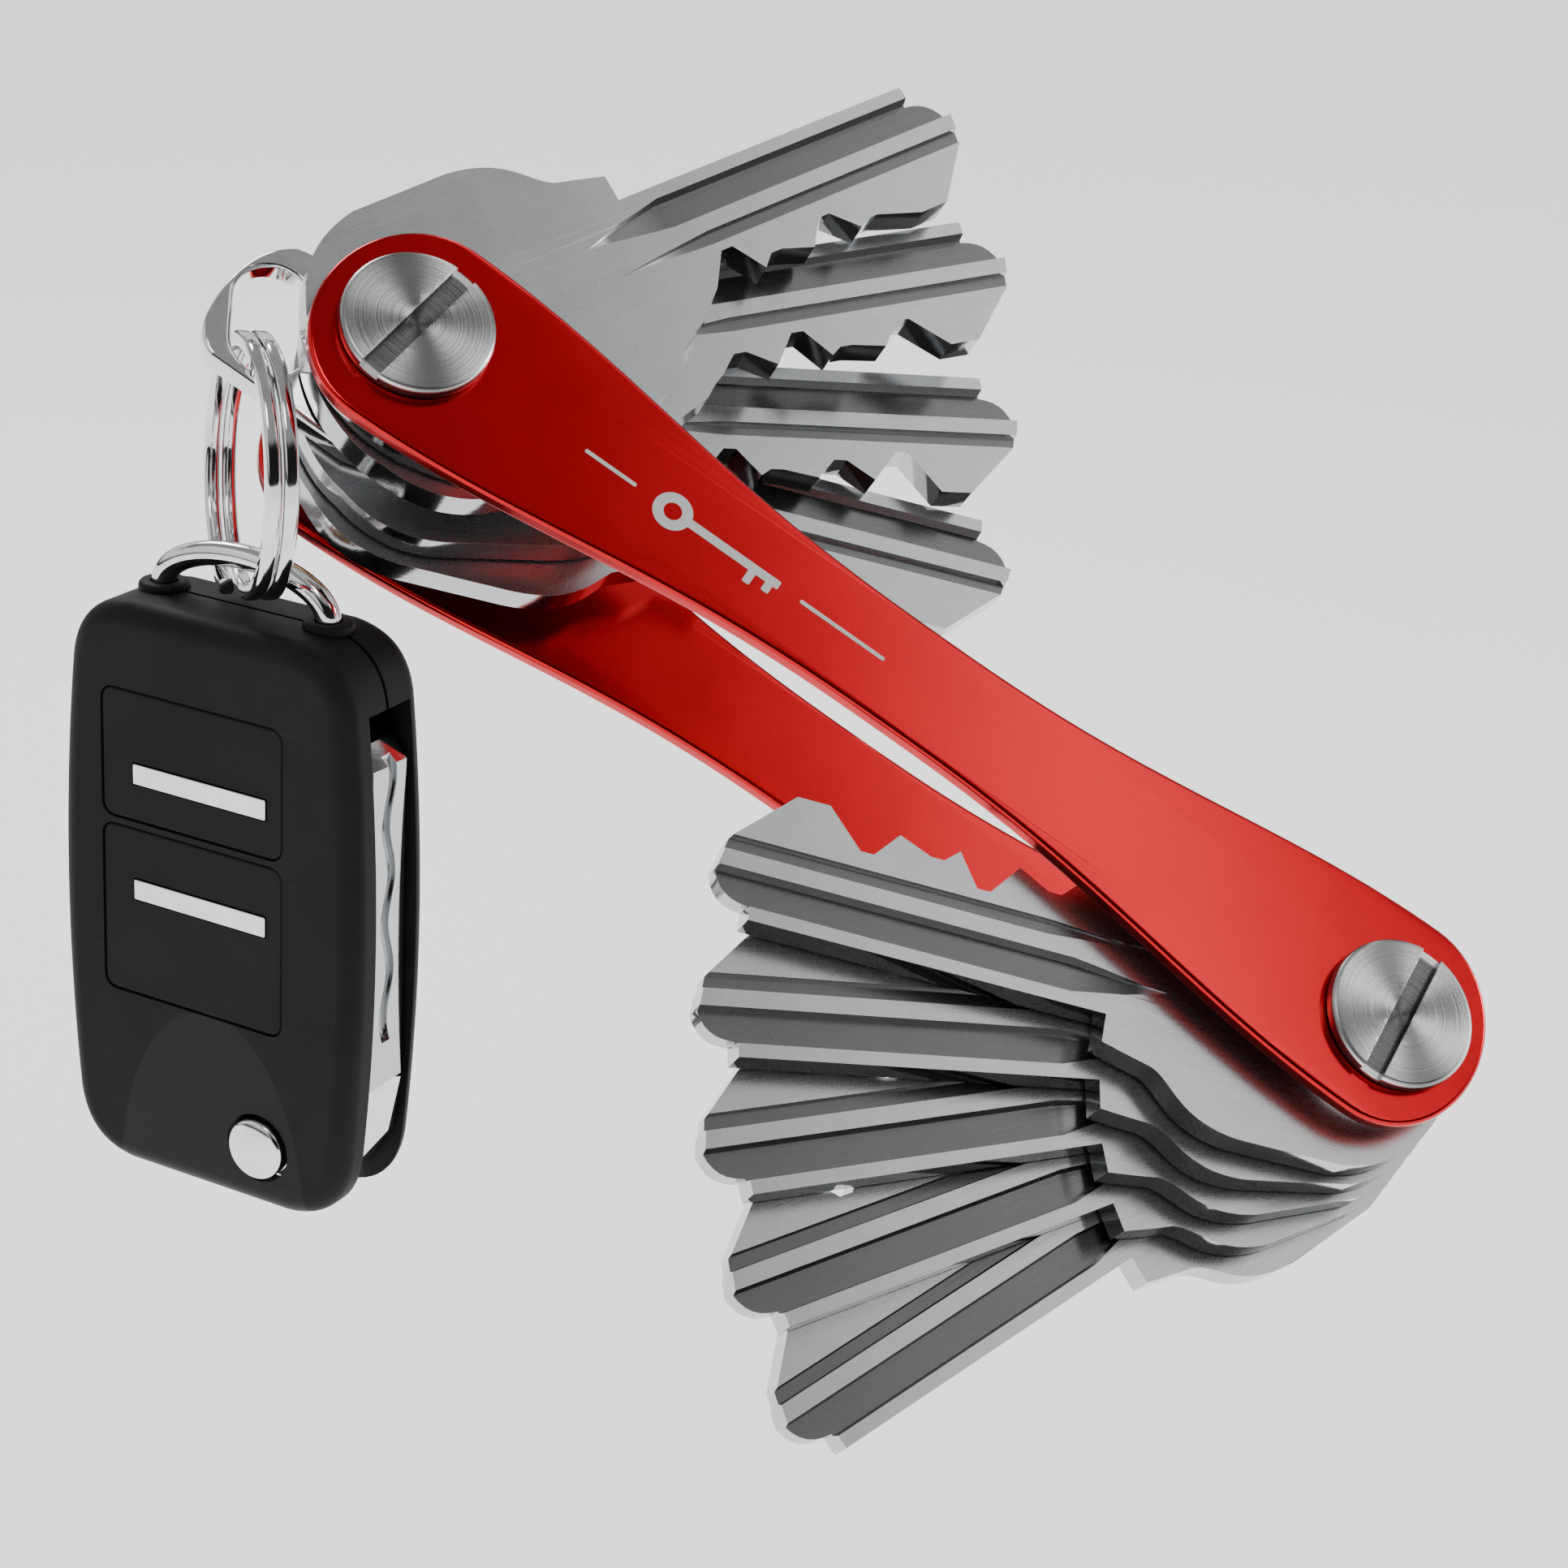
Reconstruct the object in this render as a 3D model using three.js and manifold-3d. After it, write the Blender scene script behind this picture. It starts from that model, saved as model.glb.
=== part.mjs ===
// Key organiser: two anodised plates on two screw posts, nine folding keys, and a flip-key fob
// that hangs on a split ring. Millimetres, +Z up as the fob hangs, origin at the middle of the
// back plate's outer face, where the organiser is gripped.
import * as THREE from 'three';
import { mergeVertices } from 'three/addons/utils/BufferGeometryUtils.js';
import Module from 'manifold-3d';

const wasm = await Module();
wasm.setup();

const rad = THREE.MathUtils.degToRad;

// ---- driving dimensions -------------------------------------------------------------------
// Organiser. The plate frame has its origin midway between the posts on the front face,
// x from post A to post B, z out of the front face.
const PLATE_LEAN = 43.2;          // the front face looks up by this angle, degrees
const PLATE_TURN = 43.7;          // post B lies below post A by this angle in the plates
const POST_SPACING = 76;
const WAIST_HALF = 4;
const END_HALF = 7.5;
const END_REACH = 6.45;           // from a post to the end of the plates
const WAIST_POWER = 1.35;         // how quickly the waist widens towards the posts
const PLATE_THICKNESS = 1.3;
const INNER_GAP = 15;
const TOTAL = INNER_GAP + 2 * PLATE_THICKNESS;
const EDGE_BEVEL = 0.3;

// Posts
const BARREL_R = 2.5;
const BARREL_BORE_R = 1.9;
const SHANK_R = 1.5;
const SHANK_LENGTH = 8;
const BORE_DEPTH = 14.6;          // of the barrel's bore, from the front face
const HEAD_R = 5;
const HEAD_HEIGHT = 1;
const HEAD_CHAMFER = 0.4;
const SLOT_WIDTH = 1.4;
const SLOT_DEPTH = 0.6;
const SLOT_ANGLES = { a: 83.5, b: 89.8 };
const PLAY = 0.3;                 // gap between neighbours
const HEAD_GAP = 0.15;
const PAST = 1;                   // how far a cutting tool runs past what it cuts

// Keys
const KEY_THICKNESS = 2.2;
const KEY_HOLE_R = BARREL_R + PLAY;
const STACK_PITCH = KEY_THICKNESS + PLAY;
const KEYS_A = 4;
const KEYS_B = 5;
const FIRST_ANGLE_A = 64;
const STEP_A = -13.2;
const FIRST_ANGLE_B = 202;
const STEP_B = 10.75;
const BLADE_TOP = 3.6;
const BLADE_START = 18.6;
const BLADE_END = 45;
const BLADE_BOTTOM = -5.4;
const TOOTH_BOTTOMS = [-2.4, -3.9, -2.9, -4.3];
const TOOTH_START = 21.3;
const TOOTH_PITCH = 4.1;
const TOOTH_FLAT = 0.9;
const TOOTH_SLOPE = 0.62;         // a flank's length for each millimetre of its depth
const GROOVE_DEPTH = 0.55;
const FINE_GROOVE_DEPTH = 0.35;

// Ring plate
const LOOP_THICKNESS = 1.8;
const LOOP_HOLE = { x: -8.4, y: -1.5, halfLength: 4, halfWidth: 2.5, angle: -60 };

// Split ring
const RING_R = 8.2;
const COIL_WIDTH = 1;
const COIL_PITCH = 1.15;
const COIL_HEIGHT = 1.1;
const COIL_TURNS = 1.96;
const RING_SEAT = { x: -8.35, y: -3 };       // where it hangs in the ring plate, from post A
const RING_TURN = 39.7;                      // direction of its axis in the plates
const RING_LEAN = 43.2;

// Fob
const FOB_TURN = -51.5;
const BAIL_R = 0.85;
const BAIL_HALF = 6.7;
const BAIL_RISE = 3;
const SHELL_TOP = -3.4;
const SHELL_BOTTOM = -44.8;
const SHELL_HALF = 11.5;
const SHELL_BELLY = 0.8;                     // how far the sides bulge
const SHELL_FRONT = -4.2;
const SHELL_BACK = 4.4;
const SHELL_ROUND = 1.5;
const SHELL_CORNER = 4.8;
const WALL = 1.1;
const SEAM = 0.4;
const PIVOT = { x: 4.5, z: -40.2 };
const BLADE_SLOT = { low: -1.7, high: 2.9, inner: 7.6 };
const FLIP_BLADE = { front: -1.3, back: 2.5, inner: 8.6, outer: 11.6, top: -10.5 };
const PAD = { left: -8.4, right: 6.4, gap: 0.2 };
const PAD_ROWS = [
  { name: 'lock', top: -9.4, bottom: -18.6, barMiddle: -15.2 },
  { name: 'unlock', top: -19.2, bottom: -31.4, barMiddle: -23.6 },
];
const PAD_FRONT = -4.15;
const PAD_BACK = -2.6;
const BAR = { left: -5.8, right: 5.1, height: 1.45, front: -4.25, back: -3.75, seat: 0.15 };
const BUTTON_R = 2.2;
const HUB_BORE_R = 2.2;
const PIN_R = 1.1;
const SPRING_R = 1.65;
const SPRING_WIRE = 0.25;
const BOARD = { low: [-8.6, -2.2, -31.8], high: [6.6, -1.2, -8.4] };
const CELL = { radius: 6.2, front: -0.9, back: 1.4, x: -1.2, z: -19 };
const HOUSING_SCREW = { x: -7, z: -39, headRadius: 1, shankRadius: 0.7 };

// ---- materials ----------------------------------------------------------------------------
function material(color, metalness, roughness) {
  return new THREE.MeshStandardMaterial({ color, metalness, roughness });
}

const finishes = {
  redPlate: () => material(0xb01217, 0.7, 0.35),
  steel: () => material(0xc9ccce, 1, 0.25),
  nickel: () => material(0xa9abad, 1, 0.3),
  chrome: () => material(0xd8dadc, 1, 0.12),
  brass: () => material(0xb9a05a, 1, 0.35),
  shell: () => material(0x1c1d1e, 0, 0.6),
  pad: () => material(0x141415, 0, 0.55),
  board: () => material(0x1f5a36, 0, 0.5),
};

// ---- solids -------------------------------------------------------------------------------
function solid(geometry) {
  const bare = geometry.clone();
  bare.deleteAttribute('normal');
  bare.deleteAttribute('uv');
  const merged = mergeVertices(bare, 1e-4);
  const mesh = new wasm.Mesh({
    numProp: 3,
    vertProperties: new Float32Array(merged.attributes.position.array),
    triVerts: new Uint32Array(merged.index.array),
  });
  return new wasm.Manifold(mesh);
}

function geometryOf(body) {
  const mesh = body.getMesh();
  const geometry = new THREE.BufferGeometry();
  geometry.setAttribute('position', new THREE.BufferAttribute(new Float32Array(mesh.vertProperties), 3));
  geometry.setIndex(new THREE.BufferAttribute(new Uint32Array(mesh.triVerts), 1));
  geometry.computeVertexNormals();
  return geometry;
}

function cut(geometry, ...tools) {
  let body = solid(geometry);
  for (const tool of tools) {
    body = body.subtract(solid(tool));
  }
  return geometryOf(body);
}

function join(geometry, ...others) {
  let body = solid(geometry);
  for (const other of others) {
    body = body.add(solid(other));
  }
  return geometryOf(body);
}

// A flat outline raised from one height to another, with its rims bevelled inwards.
function slab(shape, bottom, top, bevel = 0, bevelSteps = 1) {
  const geometry = new THREE.ExtrudeGeometry(shape, {
    depth: top - bottom - 2 * bevel,
    bevelEnabled: bevel > 0,
    bevelThickness: bevel,
    bevelSize: bevel,
    bevelOffset: -bevel,
    bevelSegments: bevelSteps,
    curveSegments: 5,
  });
  return geometry.translate(0, 0, bottom + bevel);
}

function rod(radius, bottom, top, x = 0, y = 0, sides = 24) {
  const geometry = new THREE.CylinderGeometry(radius, radius, top - bottom, sides);
  return geometry.rotateX(Math.PI / 2).translate(x, y, (top + bottom) / 2);
}

function block(low, high) {
  const size = high.map((value, axis) => value - low[axis]);
  const geometry = new THREE.BoxGeometry(...size);
  return geometry.translate(...low.map((value, axis) => value + size[axis] / 2));
}

function polygon(points) {
  return new THREE.Shape(points.map(([x, y]) => new THREE.Vector2(x, y)));
}

function roundSection(radius, sides) {
  const points = [];
  for (let i = 0; i < sides; i += 1) {
    const angle = (2 * Math.PI * i) / sides;
    points.push([radius * Math.cos(angle), radius * Math.sin(angle)]);
  }
  return polygon(points);
}

function place(parent, name, geometry, finish) {
  const mesh = new THREE.Mesh(geometry, finishes[finish]());
  mesh.name = name;
  parent.add(mesh);
  return mesh;
}

// ---- organiser ----------------------------------------------------------------------------
function plateShape() {
  const half = POST_SPACING / 2;
  const steps = 14;
  const capSteps = 10;
  const side = [];
  for (let i = 0; i <= steps; i += 1) {
    const x = -half + (POST_SPACING * i) / steps;
    const swell = ((1 - Math.cos((Math.PI * x) / half)) / 2) ** WAIST_POWER;
    side.push([x, WAIST_HALF + (END_HALF - WAIST_HALF) * swell]);
  }
  for (let i = 1; i < capSteps; i += 1) {
    const angle = Math.PI / 2 - (Math.PI * i) / capSteps;
    side.push([half + END_REACH * Math.cos(angle), END_HALF * Math.sin(angle)]);
  }
  // the outline is the same after half a turn
  return polygon([...side, ...side.map(([x, y]) => [-x, -y])].reverse());
}

function plate(bottom, holeRadius) {
  const half = POST_SPACING / 2;
  const holes = [-half, half].map((x) => rod(holeRadius, bottom - PAST, bottom + PLATE_THICKNESS + PAST, x));
  return cut(slab(plateShape(), bottom, bottom + PLATE_THICKNESS, EDGE_BEVEL), ...holes);
}

function head(direction) {
  const profile = [
    [0, 0],
    [HEAD_R, 0],
    [HEAD_R, HEAD_HEIGHT - HEAD_CHAMFER],
    [HEAD_R - HEAD_CHAMFER, HEAD_HEIGHT],
    [0, HEAD_HEIGHT],
  ];
  const geometry = new THREE.LatheGeometry(profile.map(([x, y]) => new THREE.Vector2(x, y)), 30);
  return geometry.rotateX(direction > 0 ? Math.PI / 2 : -Math.PI / 2);
}

function screw(slotAngle) {
  const shank = rod(SHANK_R, -SHANK_LENGTH, HEAD_GAP + HEAD_HEIGHT / 2, 0, 0, 16);
  const cap = head(1).translate(0, 0, HEAD_GAP);
  const top = HEAD_GAP + HEAD_HEIGHT;
  const reach = HEAD_R + PAST;
  const slot = block(
    [-reach, -SLOT_WIDTH / 2, top - SLOT_DEPTH],
    [reach, SLOT_WIDTH / 2, top + PAST],
  );
  return cut(join(shank, cap), slot.rotateZ(rad(slotAngle)));
}

function barrel() {
  const foot = -TOTAL - HEAD_GAP;
  const tube = rod(BARREL_R, foot - HEAD_HEIGHT / 2, -PLATE_THICKNESS - PLAY);
  const cap = head(-1).translate(0, 0, foot);
  return cut(join(tube, cap), rod(BARREL_BORE_R, -BORE_DEPTH, PAST));
}

function washer(outer, top, thickness) {
  return cut(rod(outer, top - thickness, top), rod(KEY_HOLE_R, top - thickness - PAST, top + PAST));
}

// ---- keys ---------------------------------------------------------------------------------
function keyShape() {
  const shape = new THREE.Shape();
  shape.moveTo(BLADE_START, BLADE_TOP);
  shape.lineTo(BLADE_START + 0.1, 5.5);
  shape.quadraticCurveTo(16.4, 6.1, 15.4, 6.3);
  shape.bezierCurveTo(13.6, 6.8, 13.4, 9.4, 8.6, 9.7);
  shape.lineTo(1.5, 9.6);
  shape.quadraticCurveTo(-2.6, 8.8, -4.4, 5.6);
  shape.quadraticCurveTo(-6.4, 2.4, -5.9, -1.5);
  shape.quadraticCurveTo(-5.4, -5, -3.4, -7);
  shape.quadraticCurveTo(-1, -10.3, 3, -10.5);
  shape.lineTo(10.5, -10.5);
  shape.bezierCurveTo(14.6, -10.4, 15.6, -8.8, 17, -7.4);
  shape.lineTo(19.6, -6.2);
  shape.lineTo(20.4, BLADE_BOTTOM);
  // bitting: each cut has a flat bottom and sloping flanks
  TOOTH_BOTTOMS.forEach((depth, i) => {
    const start = TOOTH_START + TOOTH_PITCH * i;
    const flank = (depth - BLADE_BOTTOM) * TOOTH_SLOPE;
    shape.lineTo(start, BLADE_BOTTOM + 0.7);
    shape.lineTo(start + flank, depth);
    shape.lineTo(start + flank + TOOTH_FLAT, depth);
  });
  shape.lineTo(38.4, BLADE_BOTTOM);
  shape.lineTo(40.6, BLADE_BOTTOM);
  shape.lineTo(BLADE_END - 0.5, -1.6);
  shape.lineTo(BLADE_END, 0.4);
  shape.quadraticCurveTo(BLADE_END - 0.4, 2, BLADE_END - 1.8, 2.3);
  shape.lineTo(BLADE_END - 2.4, 2.4);
  shape.lineTo(BLADE_END - 2.4, BLADE_TOP);
  shape.closePath();
  const hole = new THREE.Path();
  hole.absarc(0, 0, KEY_HOLE_R, 0, 2 * Math.PI, true);
  shape.holes.push(hole);
  return shape;
}

// Two grooves run along each face of the blade and fade out in the bow.
function keyGrooves() {
  const end = BLADE_END + PAST;
  const height = 2;
  const wide = slab(polygon([[16.2, 2.6], [20.5, 0.4], [end, 0.4], [end, 2.7], [18, 2.7]]), 0, height);
  const fine = slab(polygon([[16.8, -0.9], [22, -1.7], [end, -1.7], [end, -0.6], [22, -0.6]]), 0, height);
  return [
    wide.translate(0, 0, KEY_THICKNESS - GROOVE_DEPTH),
    fine.clone().translate(0, 0, KEY_THICKNESS - FINE_GROOVE_DEPTH),
    fine.clone().translate(0, 0, FINE_GROOVE_DEPTH - height),
  ];
}

const keyGeometry = cut(slab(keyShape(), 0, KEY_THICKNESS), ...keyGrooves());

function addKeys(parent, side, count, x, topOf, angleOf) {
  for (let i = 0; i < count; i += 1) {
    const key = place(parent, `key_${side}${i + 1}`, keyGeometry.clone(), 'nickel');
    key.position.set(x, 0, topOf(i) - KEY_THICKNESS);
    key.rotation.z = rad(angleOf(i));
  }
}

// ---- ring plate and split ring ------------------------------------------------------------
function loopPlate() {
  const shape = new THREE.Shape();
  shape.moveTo(0.5, -6.2);
  shape.lineTo(-9.9, -6.2);
  shape.quadraticCurveTo(-11.4, -5.6, -11.9, -3.6);
  shape.bezierCurveTo(-12.4, -0.6, -12.2, 3, -9.6, 4.4);
  shape.lineTo(-5, 5.1);
  shape.quadraticCurveTo(5.2, 6.2, 5.2, -1);
  shape.quadraticCurveTo(4.8, -5, 0.5, -6.2);
  const eye = rod(KEY_HOLE_R, -PAST, LOOP_THICKNESS + PAST);
  const { x, y, halfLength, halfWidth, angle } = LOOP_HOLE;
  const run = halfLength - halfWidth;
  const stadium = new THREE.Shape();
  stadium.absarc(run, 0, halfWidth, -Math.PI / 2, Math.PI / 2, false);
  stadium.absarc(-run, 0, halfWidth, Math.PI / 2, (3 * Math.PI) / 2, false);
  const window = slab(stadium, -PAST, LOOP_THICKNESS + PAST).rotateZ(rad(angle)).translate(x, y, 0);
  return cut(slab(shape, 0, LOOP_THICKNESS, EDGE_BEVEL), window, eye);
}

class Coil extends THREE.Curve {
  constructor(radius, pitch, turns) {
    super();
    Object.assign(this, { radius, pitch, turns });
  }

  getPoint(t, target = new THREE.Vector3()) {
    const angle = 2 * Math.PI * this.turns * t;
    const rise = this.pitch * this.turns * (t - 0.5);
    return target.set(this.radius * Math.cos(angle), this.radius * Math.sin(angle), rise);
  }
}

function coil(radius, pitch, turns, section, stepsPerTurn) {
  const shape = polygon(section);
  return new THREE.ExtrudeGeometry(shape, {
    steps: Math.round(stepsPerTurn * turns),
    extrudePath: new Coil(radius, pitch, turns),
  });
}

function splitRing() {
  // an octagon, as high along the ring's radius as COIL_HEIGHT
  const w = COIL_WIDTH / 2;
  const h = COIL_HEIGHT / 2;
  const quarter = [[h / 2, w], [h, w / 2]];
  const section = [
    ...quarter,
    ...quarter.map(([x, y]) => [x, -y]).reverse(),
    ...quarter.map(([x, y]) => [-x, -y]),
    ...quarter.map(([x, y]) => [-x, y]).reverse(),
  ];
  return coil(RING_R, COIL_PITCH, COIL_TURNS, section.reverse(), 24);
}

// ---- fob ----------------------------------------------------------------------------------
// The fob's frame has x to its right, y into its back and z up, from the top of its bail.
// Outlines are drawn in x and z and raised along y by standing the solid up.
function fobSlab(shape, front, back, bevel = 0, bevelSteps = 1) {
  // rotateX(90) turns z into -y, so the heights are given from the back to the front
  return slab(shape, -back, -front, bevel, bevelSteps).rotateX(Math.PI / 2);
}

function fobRod(radius, front, back, x, z, sides = 24) {
  return rod(radius, -back, -front, 0, 0, sides).rotateX(Math.PI / 2).translate(x, 0, z);
}

function fobOutline(inset) {
  const half = SHELL_HALF - inset;
  const top = SHELL_TOP - inset;
  const bottom = SHELL_BOTTOM + inset;
  const round = SHELL_CORNER - inset;
  const middle = (top + bottom) / 2;
  const shape = new THREE.Shape();
  shape.moveTo(half - round, top);
  shape.lineTo(-half + round, top);
  shape.quadraticCurveTo(-half + 0.4, top - 0.4, -half, top - round);
  shape.quadraticCurveTo(-half - 2 * SHELL_BELLY, middle, -half, bottom + round);
  shape.quadraticCurveTo(-half + 0.6, bottom + 0.4, -half + round, bottom);
  shape.lineTo(half - round, bottom);
  shape.quadraticCurveTo(half - 0.6, bottom + 0.4, half, bottom + round);
  shape.quadraticCurveTo(half + 2 * SHELL_BELLY, middle, half, top - round);
  shape.quadraticCurveTo(half - 0.4, top - 0.4, half - round, top);
  return shape;
}

function rectangle(left, bottom, right, top) {
  return polygon([[left, bottom], [right, bottom], [right, top], [left, top]]);
}

function padShape(row, grow) {
  return rectangle(PAD.left - grow, row.bottom - grow, PAD.right + grow, row.top + grow);
}

function shells() {
  const outer = fobSlab(fobOutline(0), SHELL_FRONT, SHELL_BACK, SHELL_ROUND, 3);
  const inner = fobSlab(fobOutline(WALL + 0.3), SHELL_FRONT + WALL, SHELL_BACK - WALL);
  const sideSlot = block([BLADE_SLOT.inner, BLADE_SLOT.low, -45], [20, BLADE_SLOT.high, -8]);
  const bottomSlot = block([-3, BLADE_SLOT.low, -50], [20, BLADE_SLOT.high, -42]);
  const bailHoles = [-1, 1].map((side) => rod(BAIL_R + PLAY, -9, 0, side * BAIL_HALF, SEAM, 16));
  const shared = [inner, sideSlot, bottomSlot, ...bailHoles];
  const far = 30;
  const frontHalf = block([-far, SEAM - PLAY / 2, -60], [far, far, 10]);
  const backHalf = block([-far, -far, -60], [far, SEAM + PLAY / 2, 10]);
  const padHoles = PAD_ROWS.map((row) => fobSlab(padShape(row, PAD.gap), -6, -2));
  const buttonHole = fobRod(BUTTON_R + PLAY, -6, -2, PIVOT.x, PIVOT.z);
  const screwHole = fobRod(HOUSING_SCREW.headRadius + PLAY, 2, 6, HOUSING_SCREW.x, HOUSING_SCREW.z, 16);
  return {
    front: cut(outer, ...shared, frontHalf, ...padHoles, buttonHole),
    back: cut(outer, ...shared, backHalf, screwHole),
  };
}

class Arch extends THREE.Curve {
  // up one leg, over a half ellipse and down the other leg
  getPoint(t, target = new THREE.Vector3()) {
    const leg = 0.2;
    const legLength = 4;
    if (t < leg) {
      return target.set(-BAIL_HALF, 0, -BAIL_RISE - legLength * (1 - t / leg));
    }
    if (t > 1 - leg) {
      return target.set(BAIL_HALF, 0, -BAIL_RISE - legLength * (1 - (1 - t) / leg));
    }
    const angle = (Math.PI * (t - leg)) / (1 - 2 * leg);
    return target.set(-BAIL_HALF * Math.cos(angle), 0, -BAIL_RISE + BAIL_RISE * Math.sin(angle));
  }
}

function bail() {
  const section = roundSection(BAIL_R, 10);
  const geometry = new THREE.ExtrudeGeometry(section, { steps: 30, extrudePath: new Arch() });
  return geometry.translate(0, SEAM, 0);
}

// The folded blade with the wavy groove on its outer side, and its root that turns on the pin.
function flipBlade() {
  const { front, back, inner, outer, top } = FLIP_BLADE;
  const shape = polygon([[inner, -35], [outer, -35], [outer, top - 1.5], [outer - 1.2, top], [inner, top]]);
  const blade = fobSlab(shape, front, back);
  const waves = 9;
  const groove = [];
  for (let i = 0; i <= waves; i += 1) {
    groove.push([top - 0.5 - (21 * i) / waves, 0.6 + 0.35 * Math.sin(2.1 * i)]);
  }
  const half = 0.45;
  const edge = [
    ...groove.map(([z, y]) => [y - half, z]),
    ...groove.reverse().map(([z, y]) => [y + half, z]),
  ];
  const channel = slab(polygon(edge), outer - half, outer + PAST);
  // stand the channel on the outer side: its x runs along y and its y along z
  channel.applyMatrix4(new THREE.Matrix4().set(0, 0, 1, 0, 1, 0, 0, 0, 0, 1, 0, 0, 0, 0, 0, 1));
  return cut(blade, channel);
}

function bladeHub() {
  const { front, back, inner, outer } = FLIP_BLADE;
  const root = polygon([
    [PIVOT.x, -43.6],
    [inner, -43.2],
    [outer - 0.6, -39.5],
    [outer, -35.3],
    [inner, -35.3],
    [PIVOT.x, -36.8],
  ]);
  const disc = fobRod(3.4, front, back, PIVOT.x, PIVOT.z);
  return cut(join(fobSlab(root, front, back), disc), fobRod(HUB_BORE_R, -5, 5, PIVOT.x, PIVOT.z));
}

function addFob(parent) {
  const fob = new THREE.Group();
  parent.add(fob);
  const { front, back } = shells();
  place(fob, 'fob_front_shell', front, 'shell');
  place(fob, 'fob_back_shell', back, 'shell');
  place(fob, 'fob_bail', bail(), 'chrome');
  for (const row of PAD_ROWS) {
    const low = row.barMiddle - BAR.height / 2;
    const high = row.barMiddle + BAR.height / 2;
    const seat = rectangle(BAR.left - BAR.seat, low - BAR.seat, BAR.right + BAR.seat, high + BAR.seat);
    const pad = cut(fobSlab(padShape(row, 0), PAD_FRONT, PAD_BACK), fobSlab(seat, -6, BAR.back + BAR.seat));
    const bar = fobSlab(rectangle(BAR.left, low, BAR.right, high), BAR.front, BAR.back);
    place(fob, `${row.name}_button`, pad, 'pad');
    place(fob, `${row.name}_bar`, bar, 'chrome');
  }
  const button = new THREE.Shape().absarc(PIVOT.x, PIVOT.z, BUTTON_R, 0, 2 * Math.PI);
  place(fob, 'release_button', fobSlab(button, -5, -2.7, EDGE_BEVEL), 'chrome');
  const pinBack = SHELL_BACK - WALL - PLAY;
  place(fob, 'pivot_pin', fobRod(PIN_R, -1.6, pinBack, PIVOT.x, PIVOT.z, 16), 'steel');
  place(fob, 'flip_blade', flipBlade(), 'nickel');
  place(fob, 'blade_hub', bladeHub(), 'chrome');
  place(fob, 'circuit_board', block(BOARD.low, BOARD.high), 'board');
  place(fob, 'coin_cell', fobRod(CELL.radius, CELL.front, CELL.back, CELL.x, CELL.z), 'steel');
  const { x, z, headRadius, shankRadius } = HOUSING_SCREW;
  const screwHead = fobRod(headRadius, 1.5, 4.2, x, z, 12);
  place(fob, 'housing_screw', join(screwHead, fobRod(shankRadius, -1.5, 1.6, x, z, 12)), 'steel');
  const wire = [[SPRING_WIRE, 0], [0, SPRING_WIRE], [-SPRING_WIRE, 0], [0, -SPRING_WIRE]];
  const spring = coil(SPRING_R, 0.9, 3, wire, 12).rotateX(Math.PI / 2);
  place(fob, 'flip_spring', spring.translate(PIVOT.x, SEAM, PIVOT.z), 'steel');
  return fob;
}

// ---- assembly -----------------------------------------------------------------------------
const organiser = new THREE.Group();
const lean = new THREE.Group();
lean.rotation.x = rad(90 - PLATE_LEAN);
const plates = new THREE.Group();
plates.rotation.z = rad(-PLATE_TURN);
plates.position.z = TOTAL;
organiser.add(lean);
lean.add(plates);

const half = POST_SPACING / 2;
place(plates, 'front_plate', plate(-PLATE_THICKNESS, SHANK_R + PLAY), 'redPlate');
place(plates, 'back_plate', plate(-TOTAL, BARREL_R + PLAY), 'redPlate');
for (const [side, x] of [['a', -half], ['b', half]]) {
  place(plates, `screw_${side}`, screw(SLOT_ANGLES[side]), 'steel').position.x = x;
  place(plates, `barrel_${side}`, barrel(), 'steel').position.x = x;
}

// stack A from the front: two keys, the ring plate, two keys, a washer
const firstA = -PLATE_THICKNESS - PLAY;
const loopTop = firstA - 2 * STACK_PITCH;
const belowLoop = loopTop - LOOP_THICKNESS - PLAY;
const topOfA = (i) => (i < 2 ? firstA - i * STACK_PITCH : belowLoop - (i - 2) * STACK_PITCH);
addKeys(plates, 'a', KEYS_A, -half, topOfA, (i) => FIRST_ANGLE_A + STEP_A * i);
place(plates, 'ring_plate', loopPlate(), 'chrome').position.set(-half, 0, loopTop - LOOP_THICKNESS);
place(plates, 'washer_a', washer(4.6, belowLoop - 2 * STACK_PITCH, 2.3), 'brass').position.x = -half;

// stack B from the front: a washer, five keys, a thin washer
const washerB = 1;
const firstB = firstA - washerB - PLAY;
place(plates, 'washer_b_front', washer(6.2, firstA, washerB), 'steel').position.x = half;
addKeys(plates, 'b', KEYS_B, half, (i) => firstB - i * STACK_PITCH, (i) => FIRST_ANGLE_B + STEP_B * i);
place(plates, 'washer_b_back', washer(4.6, firstB - KEYS_B * STACK_PITCH, 0.6), 'steel').position.x = half;

// The ring hangs through the ring plate: its plane holds the plates' normal, its axis lies in
// the plates, and its centre hangs below the seat.
const ringAxis = new THREE.Vector3(Math.cos(rad(RING_TURN)), Math.sin(rad(RING_TURN)), 0);
const along = new THREE.Vector3(Math.sin(rad(RING_TURN)), -Math.cos(rad(RING_TURN)), 0);
const down = along.clone().multiplyScalar(Math.cos(rad(RING_LEAN)));
down.z = -Math.sin(rad(RING_LEAN));
const seat = new THREE.Vector3(-half + RING_SEAT.x, RING_SEAT.y, loopTop - LOOP_THICKNESS / 2);
const ring = place(plates, 'split_ring', splitRing(), 'chrome');
ring.position.copy(seat).addScaledVector(down, RING_R);
ring.quaternion.setFromRotationMatrix(
  new THREE.Matrix4().makeBasis(down, ringAxis.clone().cross(down), ringAxis));

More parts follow.
